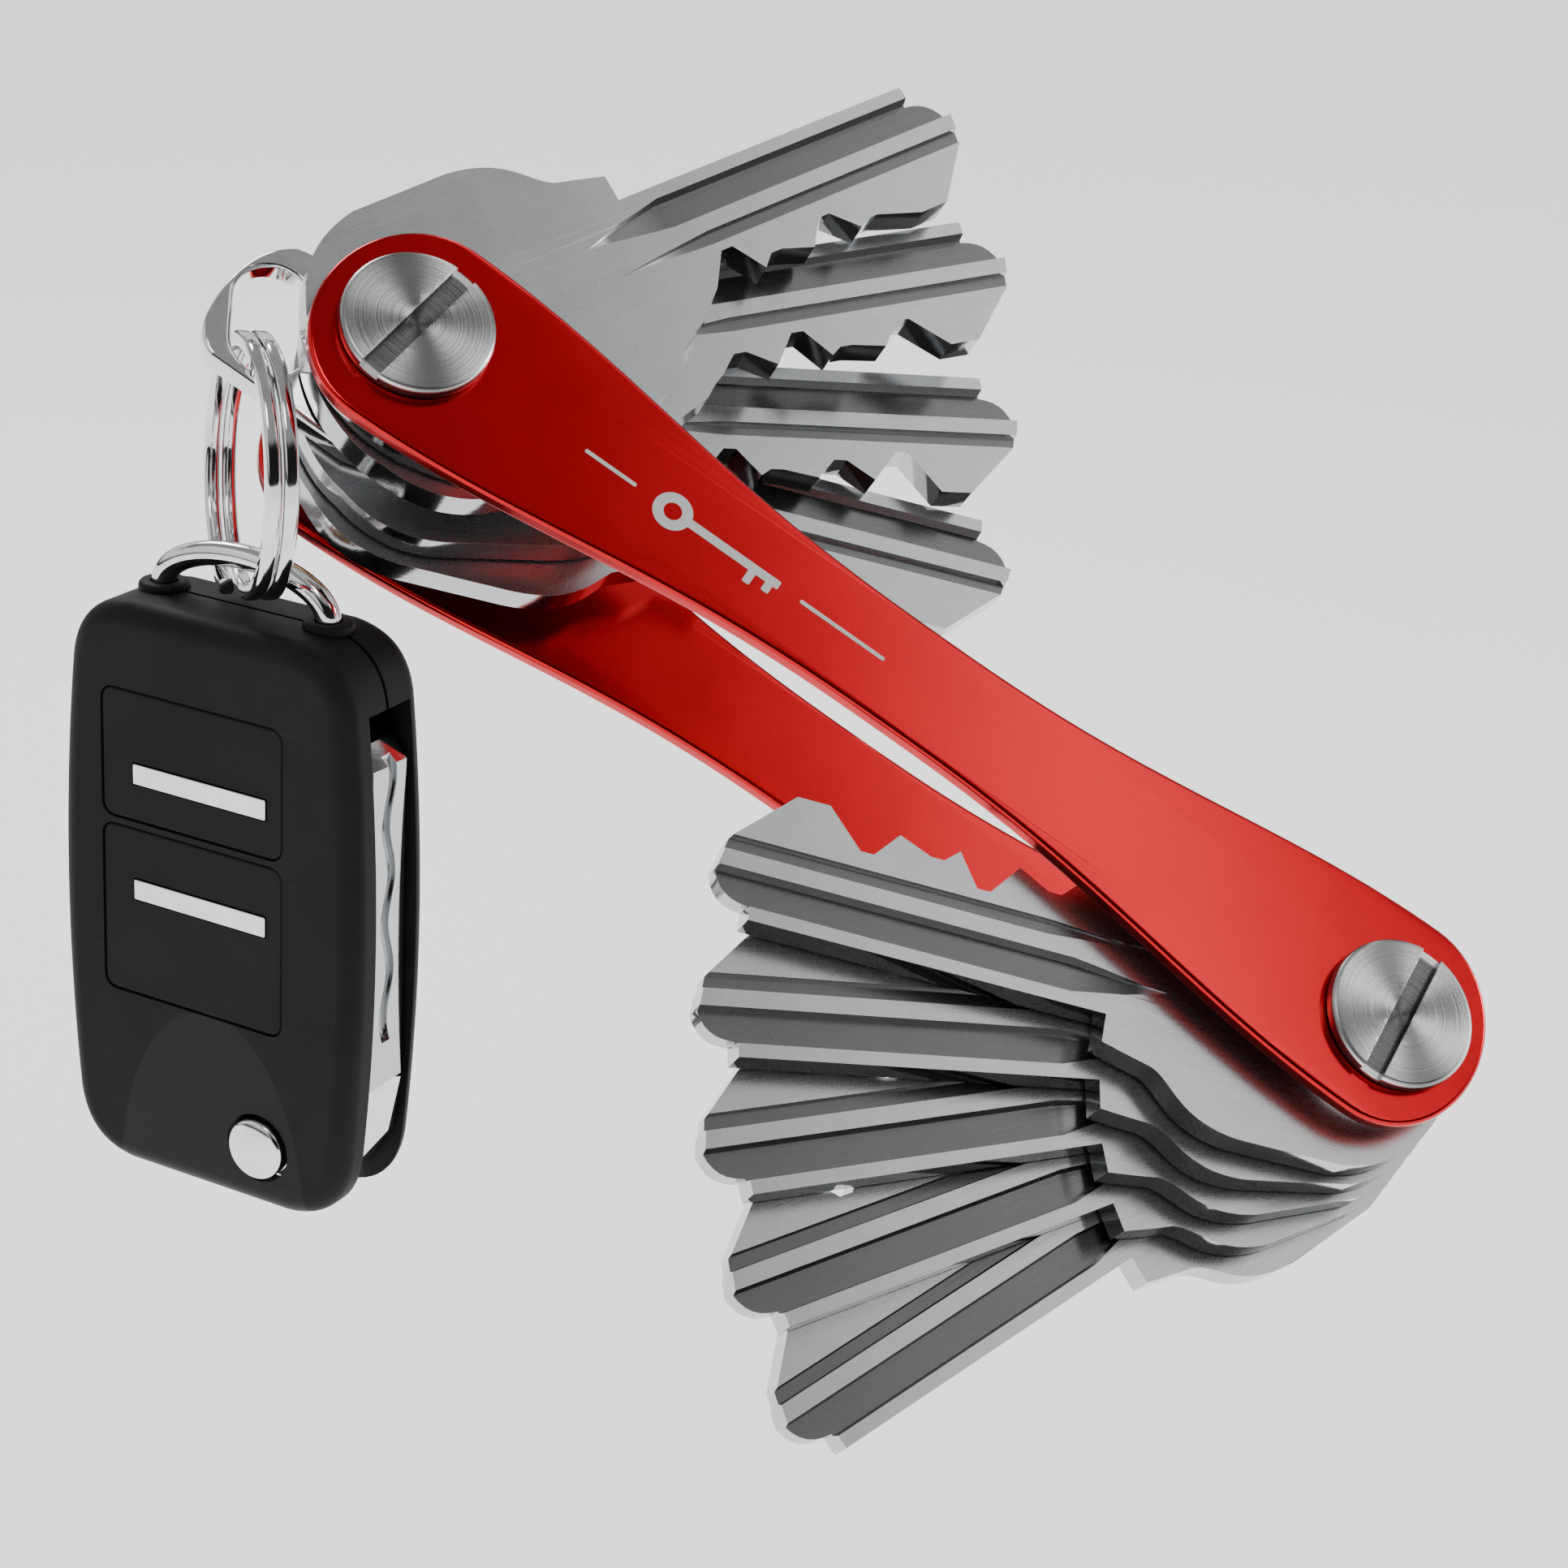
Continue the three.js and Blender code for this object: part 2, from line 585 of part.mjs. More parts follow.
// The bail's top rests inside the bottom of the ring.
organiser.updateMatrixWorld(true);
const hang = RING_R - COIL_HEIGHT / 2 - 2 * PLAY - BAIL_R;
const bailTop = plates.localToWorld(ring.position.clone().addScaledVector(down, hang));
const fob = addFob(organiser);
fob.rotation.z = rad(FOB_TURN);
fob.position.copy(bailTop);
fob.updateMatrixWorld(true);
// the bail stands behind the fob's middle by the seam, so the fob comes forward by as much
fob.position.copy(fob.localToWorld(new THREE.Vector3(0, -SEAM, 0)));

export default organiser;
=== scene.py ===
"""Key organiser: two waisted plates on screw posts, nine folding keys, a ring plate, a split ring
and a flip-key fob. Each piece is drawn in millimetres in a frame of its own, then placed."""

import math

import bpy
from bpy.props import FloatProperty, FloatVectorProperty, PointerProperty
from mathutils import Matrix, Vector
from mathutils.geometry import tessellate_polygon


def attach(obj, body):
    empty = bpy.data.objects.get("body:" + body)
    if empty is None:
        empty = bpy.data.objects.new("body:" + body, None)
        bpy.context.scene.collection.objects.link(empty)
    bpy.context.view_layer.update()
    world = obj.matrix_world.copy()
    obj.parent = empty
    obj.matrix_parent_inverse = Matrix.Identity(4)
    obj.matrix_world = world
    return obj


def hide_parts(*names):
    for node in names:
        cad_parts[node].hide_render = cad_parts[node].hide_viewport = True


bl_info = {
    "name": "Key Organiser",
    "version": (1, 0, 0),
    "blender": (4, 5, 0),
    "location": "View3D > Sidebar > Organiser",
    "description": "Builds a folding-key organiser with a flip-key fob",
    "category": "Add Mesh",
}

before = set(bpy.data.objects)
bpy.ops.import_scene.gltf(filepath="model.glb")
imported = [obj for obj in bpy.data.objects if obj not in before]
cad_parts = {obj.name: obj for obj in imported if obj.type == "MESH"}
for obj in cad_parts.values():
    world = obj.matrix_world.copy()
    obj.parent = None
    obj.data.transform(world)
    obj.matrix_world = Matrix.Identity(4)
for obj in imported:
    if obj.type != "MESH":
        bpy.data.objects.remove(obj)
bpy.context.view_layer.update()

MM = 0.001
PLAY = 0.3
OWN = "own"

# The plates lean back and turn, so that the fob hangs straight down.
PLATE_LEAN = 43.2
PLATE_TURN = 43.7
STACK_PITCH = 2.5
FIRST_A = -1.6
LOOP_TOP = FIRST_A - 2 * STACK_PITCH
LOOP_THICKNESS = 1.8
BELOW_LOOP = LOOP_TOP - LOOP_THICKNESS - PLAY
FIRST_B = FIRST_A - 1.0 - PLAY
FIRST_ANGLE_A = 64
STEP_A = -13.2
FIRST_ANGLE_B = 202
STEP_B = 10.75

# Split ring
RING_R = 8.2
COIL_WIDTH = 1.0
COIL_HEIGHT = 1.1
COIL_PITCH = 1.15
COIL_TURNS = 1.96
RING_SEAT = (-8.35, -3.0)
RING_TURN = 39.7
RING_LEAN = 43.2

# Fob: x to its right, y into its back, z up from the top of its bail
FOB_TURN = -51.5
SEAM = 0.4
BAIL_R = 0.85
BAIL_HALF = 6.7
BAIL_RISE = 3.0
BAIL_LEG = 4.0
SHELL_TOP = -3.4
SHELL_BOTTOM = -44.8
SHELL_FRONT = -4.2
SHELL_BACK = 4.4
SHELL_CORNER = 4.8
SHELL_BELLY = 0.8
WALL = 1.1
PIVOT = (4.5, -40.2)
SLOT_LOW = -1.7
SLOT_HIGH = 2.9
SLOT_INNER = 7.6
BLADE_FRONT = -1.3
BLADE_BACK = 2.5
BLADE_INNER = 8.6
BLADE_OUTER = 11.6
BLADE_TIP = -10.5
PAD_ROWS = {"lock": (-9.4, -18.6, -15.2), "unlock": (-19.2, -31.4, -23.6)}
PAD_SIDES = (-8.4, 6.4)
BAR_SIDES = (-5.8, 5.1)
BAR_HEIGHT = 1.45
BUTTON_R = 2.2


def turn(degrees, axis):
    return Matrix.Rotation(math.radians(degrees), 4, axis)


def shift(x=0.0, y=0.0, z=0.0):
    return Matrix.Translation((x, y, z))


# ---- sizes and colours ---------------------------------------------------------------------
def length(name, description, default):
    return FloatProperty(name=name, description=description, default=default, unit="LENGTH")


def tint(name, description, default):
    return FloatVectorProperty(
        name=name, description=description, default=default, subtype="COLOR", size=3, min=0, max=1)


class OrganiserSizes(bpy.types.PropertyGroup):
    """Sizes of the plates and posts"""

    post_spacing: length("Post spacing", "Between the two posts", 0.076)
    waist: length("Waist", "Width of the plates at the middle", 0.008)
    end_width: length("End width", "Width of the plates at the posts", 0.015)
    plate: length("Plate", "Thickness of each plate", 0.0013)
    total: length("Total", "Over both plates", 0.0176)
    head: length("Screw head", "Diameter of the screw heads", 0.010)
    key: length("Key", "Thickness of a key", 0.0022)
    fob_width: length("Fob width", "Width of the fob at its ends", 0.023)


class OrganiserColours(bpy.types.PropertyGroup):
    """Colours of the finishes"""

    plate: tint("Plates", "Anodised colour", (0.56, 0.003, 0.010))
    key: tint("Keys", "Nickel plate", (0.50, 0.51, 0.52))
    fob: tint("Fob", "Soft-touch case", (0.006, 0.0065, 0.007))
    backdrop: tint("Backdrop", "Floor and sweep", (0.93, 0.93, 0.93))


def size(name):
    """One of the organiser's sizes, in millimetres."""
    return getattr(bpy.context.scene.organiser_sizes, name) / MM


def colour(name):
    return (*getattr(bpy.context.scene.organiser_colours, name), 1.0)


def plates_frame():
    """Origin midway between the posts on the front face, x towards post B, z out of the face."""
    return turn(90 - PLATE_LEAN, "X") @ shift(z=size("total")) @ turn(-PLATE_TURN, "Z")


def post(side):
    return shift(x=size("post_spacing") / (2 if side == "b" else -2))


def ring_frame():
    """The split ring's frame: x down, z along its axis. Its plane holds the plates' normal."""
    tilt = math.radians(RING_TURN)
    lean = math.radians(RING_LEAN)
    axis = Vector((math.cos(tilt), math.sin(tilt), 0))
    down = Vector((math.sin(tilt), -math.cos(tilt), 0)) * math.cos(lean)
    down.z = -math.sin(lean)
    seat = Vector((RING_SEAT[0], RING_SEAT[1], LOOP_TOP - LOOP_THICKNESS / 2))
    centre = post("a") @ seat + down * RING_R
    basis = Matrix((down, axis.cross(down), axis)).transposed().to_4x4()
    return plates_frame() @ Matrix.Translation(centre) @ basis


def fob_frame():
    hang = RING_R - COIL_HEIGHT / 2 - 2 * PLAY - BAIL_R
    top = ring_frame() @ Vector((hang, 0, 0))
    return Matrix.Translation(top) @ turn(FOB_TURN, "Z") @ shift(y=-SEAM)


# Drawings for the fob stand up: their y runs along its z, and their height towards its front.
def fob_drawing():
    return fob_frame() @ turn(90, "X")


# ---- node trees ----------------------------------------------------------------------------
class Wire:
    """An output socket that takes part in sums."""

    def __init__(self, board, socket):
        self.board = board
        self.socket = socket

    def maths(self, operation, *values):
        sockets = dict(enumerate(values))
        return self.board.add("ShaderNodeMath", {"operation": operation}, sockets)

    def __add__(self, other):
        return self.maths("ADD", self, other)

    def __sub__(self, other):
        return self.maths("SUBTRACT", self, other)

    def __rsub__(self, other):
        return self.maths("SUBTRACT", other, self)

    def __mul__(self, other):
        return self.maths("MULTIPLY", self, other)

    def __truediv__(self, other):
        return self.maths("DIVIDE", self, other)

    def __pow__(self, other):
        return self.maths("POWER", self, other)

    __radd__ = __add__
    __rmul__ = __mul__

    def sin(self):
        return self.maths("SINE", self)

    def cos(self):
        return self.maths("COSINE", self)

    def size(self):
        return self.maths("ABSOLUTE", self)

    def ramp(self, low, high, start=0.0, end=1.0):
        settings = {"clamp": True, "interpolation_type": "SMOOTHSTEP"}
        values = {0: self, 1: low, 2: high, 3: start, 4: end}
        return self.board.add("ShaderNodeMapRange", settings, values)


class Board:
    """A node tree that one method adds nodes to."""

    def __init__(self, tree):
        self.tree = tree
        self.tree.nodes.clear()

    def add(self, kind, settings=None, sockets=None, output=0):
        node = self.tree.nodes.new(kind)
        for name, value in (settings or {}).items():
            setattr(node, name, value)
        for name, value in (sockets or {}).items():
            if isinstance(value, Wire):
                self.tree.links.new(value.socket, node.inputs[name])
            else:
                node.inputs[name].default_value = value
        return Wire(self, node.outputs[output]) if node.outputs else None


class Finish(Board):
    """A material's tree, with the patterns that several finishes share."""

    def __init__(self, name):
        self.material = bpy.data.materials.new(name)
        self.material.use_nodes = True
        super().__init__(self.material.node_tree)

    def own(self):
        """Place in the piece's own frame, in millimetres."""
        return self.add("ShaderNodeAttribute", {"attribute_name": OWN}, output="Vector")

    def body_place(self):
        """Place in the object's frame, in millimetres, for pieces without a frame of their own."""
        place = self.add("ShaderNodeTexCoord", output="Object")
        return self.vector("MULTIPLY", place, (1 / MM, 1 / MM, 1 / MM))

    def vector(self, operation, *values, output=0):
        return self.add("ShaderNodeVectorMath", {"operation": operation}, dict(enumerate(values)), output)

    def split(self, vector):
        node = self.add("ShaderNodeSeparateXYZ", sockets={0: vector}).socket.node
        return [Wire(self, node.outputs[i]) for i in range(3)]

    def noise(self, vector, scale, detail=3.0, stretch=(1, 1, 1)):
        """Noise of about 0 to 1, with scale features to the millimetre."""
        place = self.vector("MULTIPLY", vector, stretch)
        sockets = {"Vector": place, "Scale": scale, "Detail": detail}
        return self.add("ShaderNodeTexNoise", sockets=sockets)

    def mix(self, factor, low, high):
        return self.add("ShaderNodeMix", {"data_type": "RGBA"}, {0: factor, 6: low, 7: high}, 2)

    def bump(self, height, distance, strength=1.0):
        sockets = {"Height": height, "Distance": distance * MM, "Strength": strength}
        return self.add("ShaderNodeBump", sockets=sockets)

    def flatness(self, axis):
        """1 where the surface faces along a direction of the object's frame, 0 on the walls."""
        facing = self.add("ShaderNodeTexCoord", output="Normal")
        along = self.vector("DOT_PRODUCT", facing, axis, output="Value")
        return along.size().ramp(0.9, 0.98)

    def surface(self, **inputs):
        sockets = {name.replace("_", " "): value for name, value in inputs.items()}
        shader = self.add("ShaderNodeBsdfPrincipled", sockets=sockets)
        self.add("ShaderNodeOutputMaterial", sockets={"Surface": shader})
        return self.material


def grey(value, tint=0.0):
    return (value, value, value + tint, 1.0)


def plate_normal():
    return tuple(plates_frame().to_3x3() @ Vector((0, 0, 1)))


def red_plate():
    """Anodised aluminium: satin colour over a fine blasted grain."""
    board = Finish("red_anodised")
    own = board.own()
    base = colour("plate")
    cloud = board.noise(own, 0.12, 2.0)
    grain = board.noise(own, 14.0, 2.0)
    deep = tuple(channel * 0.92 for channel in base[:3]) + (1.0,)
    tint = board.mix(cloud.ramp(0.3, 0.7), deep, base)
    rough = 0.17 + 0.03 * cloud + 0.03 * grain
    return board.surface(
        Base_Color=tint, Metallic=1.0, Roughness=rough, Normal=board.bump(grain, 0.006, 0.35),
        Coat_Weight=0.25, Coat_Roughness=0.12)


def turned_steel(centre_pull=True):
    """Steel faced on a lathe: fine rings that tip its face, with wedges of light and shade and a shaded slot
    painted into its colour.
    """
    board = Finish("turned_steel" if centre_pull else "drawn_steel")
    own = board.own()
    x, y, z = board.split(own)
    radius = (x * x + y * y) ** 0.5
    line = board.add("ShaderNodeCombineXYZ", sockets={0: radius})
    rings = board.noise(line, 24.0, 2.0)
    wear = board.noise(own, 0.9, 4.0)
    tone = board.mix(rings.ramp(0.25, 0.75), grey(0.62), grey(0.86, 0.01))
    # Painted light and shade: bright wedges along x and y and dark wedges on the diagonals, as a light shows
    # on turned metal.
    painted_wedges = ((x * x - y * y) / (radius * radius + 0.01)).size() ** 2.5
    tone = board.mix(painted_wedges, board.mix(0.8, tone, grey(0.08)), tone)
    # Painted shade: the floor and walls of the slot in the head are darkened.
    slot = z.ramp(0.3, 0.5) * (1 - z.ramp(0.9, 1.1)) * (1 - radius.ramp(4.4, 4.6))
    tone = board.mix(slot * 0.85, tone, grey(0.05))
    rough = 0.17 + 0.14 * rings + 0.06 * wear
    inputs = {"Base_Color": tone, "Metallic": 1.0, "Roughness": rough}
    if centre_pull:
        inputs["Normal"] = ring_normal(board, own, rings, 1.5)
    else:
        inputs["Normal"] = board.bump(rings, 0.01, 0.5)
    return board.surface(**inputs)


def ring_normal(board, own, rings, reach):
    """The surface's direction, tipped in and out along the radius by the turned rings."""
    frame_of_plates = plates_frame().to_3x3()
    rows = [tuple(frame_of_plates.col[i]) for i in range(2)]
    x, y, _ = board.split(board.vector("NORMALIZE", board.vector("MULTIPLY", own, (1, 1, 0))))
    tip = (rings - 0.5) * reach
    scale = {"operation": "SCALE"}
    across = board.add("ShaderNodeVectorMath", scale, {0: rows[0], "Scale": x * tip})
    upward = board.add("ShaderNodeVectorMath", scale, {0: rows[1], "Scale": y * tip})
    facing = board.add("ShaderNodeTexCoord", output="Normal")
    tipped = board.vector("ADD", board.vector("ADD", facing, across), upward)
    settings = {"vector_type": "NORMAL", "convert_from": "OBJECT", "convert_to": "WORLD"}
    world = board.add("ShaderNodeVectorTransform", settings, {0: tipped})
    return board.vector("NORMALIZE", world)


def key_nickel():
    """Nickel-plated key: satin flats with fine specks, polished walls, and groove floors painted dark as
    shade.
    """
    board = Finish("key_nickel")
    own = board.own()
    flat = board.flatness(plate_normal())
    specks = board.noise(own, 7.0, 5.0)
    drawn = board.noise(own, 3.0, 3.0, (0.06, 4.0, 1.0))
    wear = board.noise(own, 0.35, 2.0)
    base = colour("key")
    dull = tuple(channel * 0.95 for channel in base[:3]) + (1.0,)
    tone = board.mix(wear.ramp(0.35, 0.65), dull, base)
    tone = board.mix(specks.ramp(0.62, 0.74, 0.0, 0.35), tone, grey(0.36))
    _, _, depth = board.split(own)
    # Painted shade: flats lying below the key's faces, the groove floors, are darkened.
    groove_shade = flat * depth.ramp(0.3, 0.38) * (1 - depth.ramp(1.85, 2.0))
    tone = board.mix(groove_shade * 0.8, tone, grey(0.06))
    rough = 0.08 + flat * (0.13 + 0.08 * drawn + 0.05 * specks) + 0.015 * wear
    height = drawn * 0.6 + specks * 0.4
    return board.surface(
        Base_Color=tone, Metallic=1.0, Roughness=rough, Normal=board.bump(height, 0.012, 0.4))


def chrome():
    """Polished chrome with the faint haze of handling."""
    board = Finish("chrome")
    own = board.own()
    haze = board.noise(own, 0.5, 4.0)
    lines = board.noise(own, 2.2, 3.0, (0.3, 2.5, 1.0))
    tone = board.mix(haze.ramp(0.3, 0.7), grey(0.72), grey(0.84, 0.01))
    rough = 0.05 + 0.07 * haze.ramp(0.45, 0.75) + 0.03 * lines
    return board.surface(
        Base_Color=tone, Metallic=1.0, Roughness=rough, Normal=board.bump(lines, 0.004, 0.3))


def brass():
    board = Finish("satin_brass")
    own = board.own()
    rings = board.noise(own, 4.0, 4.0)
    tone = board.mix(rings, (0.50, 0.36, 0.16, 1), (0.78, 0.62, 0.34, 1))
    return board.surface(
        Base_Color=tone, Metallic=1.0, Roughness=0.22 + 0.15 * rings, Normal=board.bump(rings, 0.01, 0.4))


def soft_black():
    """Soft-touch case: a fine pebbled coat, and a smoother arch below the buttons."""
    board = Finish("soft_black")
    own = board.own()
    x, y, _ = board.split(own)
    across = (x - 0.6) / 8.0
    along = (y + 46.0) / 15.0
    arch = 1 - (across * across + along * along).ramp(0.94, 1.0)
    pebble = board.noise(own, 11.0, 3.0)
    cloud = board.noise(own, 0.15, 3.0)
    base = colour("fob")
    worn = tuple(channel * 1.5 for channel in base[:3]) + (1.0,)
    tone = board.mix(cloud.ramp(0.35, 0.7), base, worn)
    tone = board.mix(arch * 0.5, tone, grey(0.02))
    rough = 0.50 + 0.10 * cloud - 0.12 * arch
    return board.surface(
        Base_Color=tone, Roughness=rough, Normal=board.bump(pebble, 0.012, 0.5), Specular_IOR_Level=0.12)


def button_black():
    board = Finish("button_rubber")
    own = board.own()
    pebble = board.noise(own, 13.0, 2.0)
    cloud = board.noise(own, 0.2, 3.0)
    tone = board.mix(cloud, grey(0.006), grey(0.011))
    return board.surface(
        Base_Color=tone, Roughness=0.5 + 0.12 * cloud, Normal=board.bump(pebble, 0.01, 0.5),
        Specular_IOR_Level=0.12)


def etched_silver():
    board = Finish("etched_mark")
    own = board.own()
    grain = board.noise(own, 16.0, 3.0)
    tone = board.mix(grain, grey(0.50), grey(0.74))
    return board.surface(Base_Color=tone, Metallic=0.7, Roughness=0.38 + 0.2 * grain)


def circuit_green():
    """Solder mask over tracks, for the board inside the fob."""
    board = Finish("circuit_green")
    place = board.body_place()
    _, _, z = board.split(place)
    tracks = (z * 2.6).sin().size().ramp(0.82, 0.95)
    cloud = board.noise(place, 1.5, 3.0)
    mask = board.mix(cloud, (0.01, 0.09, 0.03, 1), (0.02, 0.16, 0.06, 1))
    tone = board.mix(tracks, mask, (0.05, 0.26, 0.11, 1))
    return board.surface(
        Base_Color=tone, Roughness=0.3 + 0.15 * cloud, Normal=board.bump(tracks, 0.05, 0.4))


def plain_steel():
    """Steel for the CAD nodes that show as they are."""
    board = Finish("inner_steel")
    place = board.body_place()
    grain = board.noise(place, 2.5, 4.0, (1, 1, 5))
    tone = board.mix(grain, grey(0.42), grey(0.68))
    return board.surface(
        Base_Color=tone, Metallic=1.0, Roughness=0.2 + 0.18 * grain, Normal=board.bump(grain, 0.01, 0.4))


MATERIALS = {}
MAKERS = {
    "red_plate": red_plate, "turned_steel": turned_steel, "key_nickel": key_nickel,
    "chrome": chrome, "brass": brass, "soft_black": soft_black, "button_black": button_black,
    "etched_mark": etched_silver, "board": circuit_green, "inner_steel": plain_steel,
    "drawn_steel": lambda: turned_steel(False),
}


def material(name):
    if name not in MATERIALS:
        MATERIALS[name] = MAKERS[name]()
    return MATERIALS[name]


# ---- solids --------------------------------------------------------------------------------
def inset(loop, distance):
    """Each corner moved to its left by distance along the bisector, into the material."""
    moved = []
    for i, point in enumerate(loop):
        here = Vector(point)
        before = (here - Vector(loop[i - 1])).normalized()
        after = (Vector(loop[(i + 1) % len(loop)]) - here).normalized()
        sides = [Vector((-way.y, way.x)) for way in (before, after)]
        mitre = (sides[0] + sides[1]) / max(0.35, 1 + sides[0].dot(sides[1]))
        moved.append(here + mitre * distance)
    return moved


def area(loop):
    return sum(a[0] * b[1] - b[0] * a[1] for a, b in zip(loop, loop[1:] + loop[:1])) / 2


def slab(loops, low, high, rim=0.0, steps=4, foot=None):
    """A flat outline with holes, raised from low to high. rim rounds the top edges and foot the
    bottom ones; the first loop is the outside."""
    foot = rim if foot is None else foot
    loops = [list(map(tuple, loop)) for loop in loops]
    for i, loop in enumerate(loops):
        if (area(loop) > 0) != (i == 0):
            loop.reverse()
    levels = []
    for radius, base, sign in ((foot, low, 1), (rim, high, -1)):
        count = steps if radius else 0
        ring = []
        for k in range(count + 1):
            angle = math.pi / 2 * k / count if count else math.pi / 2
            ring.append((radius * (1 - math.sin(angle)), base + sign * radius * (1 - math.cos(angle))))
        levels += ring if sign > 0 else ring[::-1]
    points = []
    faces = []
    starts = []
    for loop in loops:
        starts.append(len(points))
        for distance, height in levels:
            moved = inset(loop, distance) if distance else loop
            points += [(p[0], p[1], height) for p in moved]
    for start, loop in zip(starts, loops):
        n = len(loop)
        for k in range(len(levels) - 1):
            for i in range(n):
                a = start + k * n + i
                b = start + k * n + (i + 1) % n
                faces.append((a, b, b + n, a + n))
    for level, up in ((0, False), (len(levels) - 1, True)):
        rings = [
            [start + level * len(loop) + i for i in range(len(loop))]
            for start, loop in zip(starts, loops)]
        flat = [index for ring in rings for index in ring]
        for triangle in tessellate_polygon([[Vector(points[i]) for i in ring] for ring in rings]):
            corners = [flat[i] for i in triangle]
            if (area([points[i] for i in corners]) > 0) != up:
                corners.reverse()
            faces.append(tuple(corners))
    return points, faces


def lathe(profile, sides=96):
    """A profile of (radius, height) points turned round z. It starts and ends on the axis or
    closes on itself, and runs with the material on its left."""
    points = []
    rows = []
    for radius, height in profile:
        if radius < 1e-6:
            rows.append([len(points)] * sides)
            points.append((0.0, 0.0, height))
            continue
        rows.append(list(range(len(points), len(points) + sides)))
        for k in range(sides):
            angle = 2 * math.pi * k / sides
            points.append((radius * math.cos(angle), radius * math.sin(angle), height))
    if profile[0][0] > 1e-6:
        rows.append(rows[0])
    faces = []
    for one, two in zip(rows, rows[1:]):
        for k in range(sides):
            face = (one[k], one[(k + 1) % sides], two[(k + 1) % sides], two[k])
            face = tuple(dict.fromkeys(face))
            if len(face) > 2:
                faces.append(face)
    return points, faces


def loft(sections):
    """Sections of four corners each, joined in order and closed at both ends."""
    points = [tuple(p) for section in sections for p in section]
    faces = []
    for k in range(len(sections) - 1):
        for i in range(4):
            a = 4 * k + i
            b = 4 * k + (i + 1) % 4
            faces.append((a, b, b + 4, a + 4))
    last = 4 * (len(sections) - 1)
    faces.append((3, 2, 1, 0))
    faces.append((last, last + 1, last + 2, last + 3))
    return points, faces


def block(low, high):
    (x, y, z), (a, b, c) = low, high
    return loft([[(x, y, z), (a, y, z), (a, b, z), (x, b, z)], [(x, y, c), (a, y, c), (a, b, c), (x, b, c)]])


def rod(radius, low, high, x=0.0, y=0.0, sides=64):
    return slab([circle(radius, x, y, sides)], low, high)


def moved(data, matrix):
    return [tuple(matrix @ Vector(p)) for p in data[0]], data[1]


def circle(radius, x=0.0, y=0.0, sides=96):
    return arc(x, y, radius, radius, 0, 360, sides)[:-1]


def arc(x, y, a, b, start, end, steps=16):
    points = []
    for i in range(steps + 1):
        angle = math.radians(start + (end - start) * i / steps)
        points.append((x + a * math.cos(angle), y + b * math.sin(angle)))
    return points


def bend(*controls, steps=10):
    """Points of a Bezier curve after its first control."""
    points = []
    for i in range(1, steps + 1):
        t = i / steps
        level = [Vector(c) for c in controls]
        while len(level) > 1:
            level = [a.lerp(b, t) for a, b in zip(level, level[1:])]
        points.append(tuple(level[0]))
    return points


def rounded(left, bottom, right, top, radius, steps=6):
    corners = [(right, top, 0), (left, top, 90), (left, bottom, 180), (right, bottom, 270)]
    points = []
    for x, y, start in corners:
        cx = x - radius if x == right else x + radius
        cy = y - radius if y == top else y + radius
        points += arc(cx, cy, radius, radius, start, start + 90, steps)
    return points


def raw_object(name, data):
    mesh = bpy.data.meshes.new(name)
    mesh.from_pydata(data[0], [], data[1])
    mesh.update()
    piece = bpy.data.objects.new(name, mesh)
    bpy.context.scene.collection.objects.link(piece)
    return piece


def evaluated(piece):
    """The piece's mesh with its modifiers applied; the modifiers are then removed."""
    graph = bpy.context.evaluated_depsgraph_get()
    mesh = bpy.data.meshes.new_from_object(piece.evaluated_get(graph))
    piece.modifiers.clear()
    piece.data = mesh
    return mesh


def trimmed(name, data, cuts=(), edge=0.0):
    """A solid with tools cut from it, and its sharp edges eased by edge."""
    piece = raw_object(name, data)
    tools = [raw_object("tool", tool) for tool in cuts]
    for tool in tools:
        cut = piece.modifiers.new("cut", "BOOLEAN")
        cut.operation = "DIFFERENCE"
        cut.solver = "EXACT"
        cut.object = tool
    if edge:
        ease = piece.modifiers.new("ease", "BEVEL")
        ease.width = edge
        ease.segments = 2
        ease.limit_method = "ANGLE"
        ease.angle_limit = math.radians(32)
        ease.use_clamp_overlap = True
        ease.harden_normals = False
    evaluated(piece)
    for tool in tools:
        bpy.data.objects.remove(tool)
    return piece


def settle(piece, place, finish, sharp=34):
    """Notes each point's place in the piece's own frame, then puts the mesh in the row's frame."""
    mesh = piece.data
    layer = mesh.attributes.get(OWN) or mesh.attributes.new(OWN, "FLOAT_VECTOR", "POINT")
    values = [component for vertex in mesh.vertices for component in vertex.co]
    layer.data.foreach_set("vector", values)
    mesh.transform(Matrix.Scale(MM, 4) @ place)
    mesh.materials.clear()
    mesh.materials.append(material(finish))
    mesh.shade_smooth()
    mesh.set_sharp_from_angle(angle=math.radians(sharp))
    even = piece.modifiers.new("even", "WEIGHTED_NORMAL")
    even.keep_sharp = True
    even.weight = 100
    evaluated(piece)
    piece.data.name = piece.name
    return piece


def assign(piece, body, slot, *nodes):
    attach(piece, body)
    if nodes:
        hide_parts(*nodes)


def make(name, data, place, finish, body, slot, nodes=(), cuts=(), edge=0.0):
    piece = trimmed(name, data, cuts, edge)
    settle(piece, place, finish)
    assign(piece, body, slot, *nodes)
    return piece


# ---- outlines ------------------------------------------------------------------------------
def plate_outline():
    half = size("post_spacing") / 2
    waist = size("waist") / 2
    end = size("end_width") / 2
    reach = 6.45
    steps = 72
    side = []
    for i in range(steps + 1):
        x = half - 2 * half * i / steps
        swell = ((1 - math.cos(math.pi * x / half)) / 2) ** 1.35
        side.append((x, waist + (end - waist) * swell))
    left = [(-half + x, y) for x, y in arc(0, 0, reach, end, 90, 270, 28)[1:-1]]
    back = [(-x, -y) for x, y in side]
    right = [(-x, -y) for x, y in left]
    return side + left + back + right


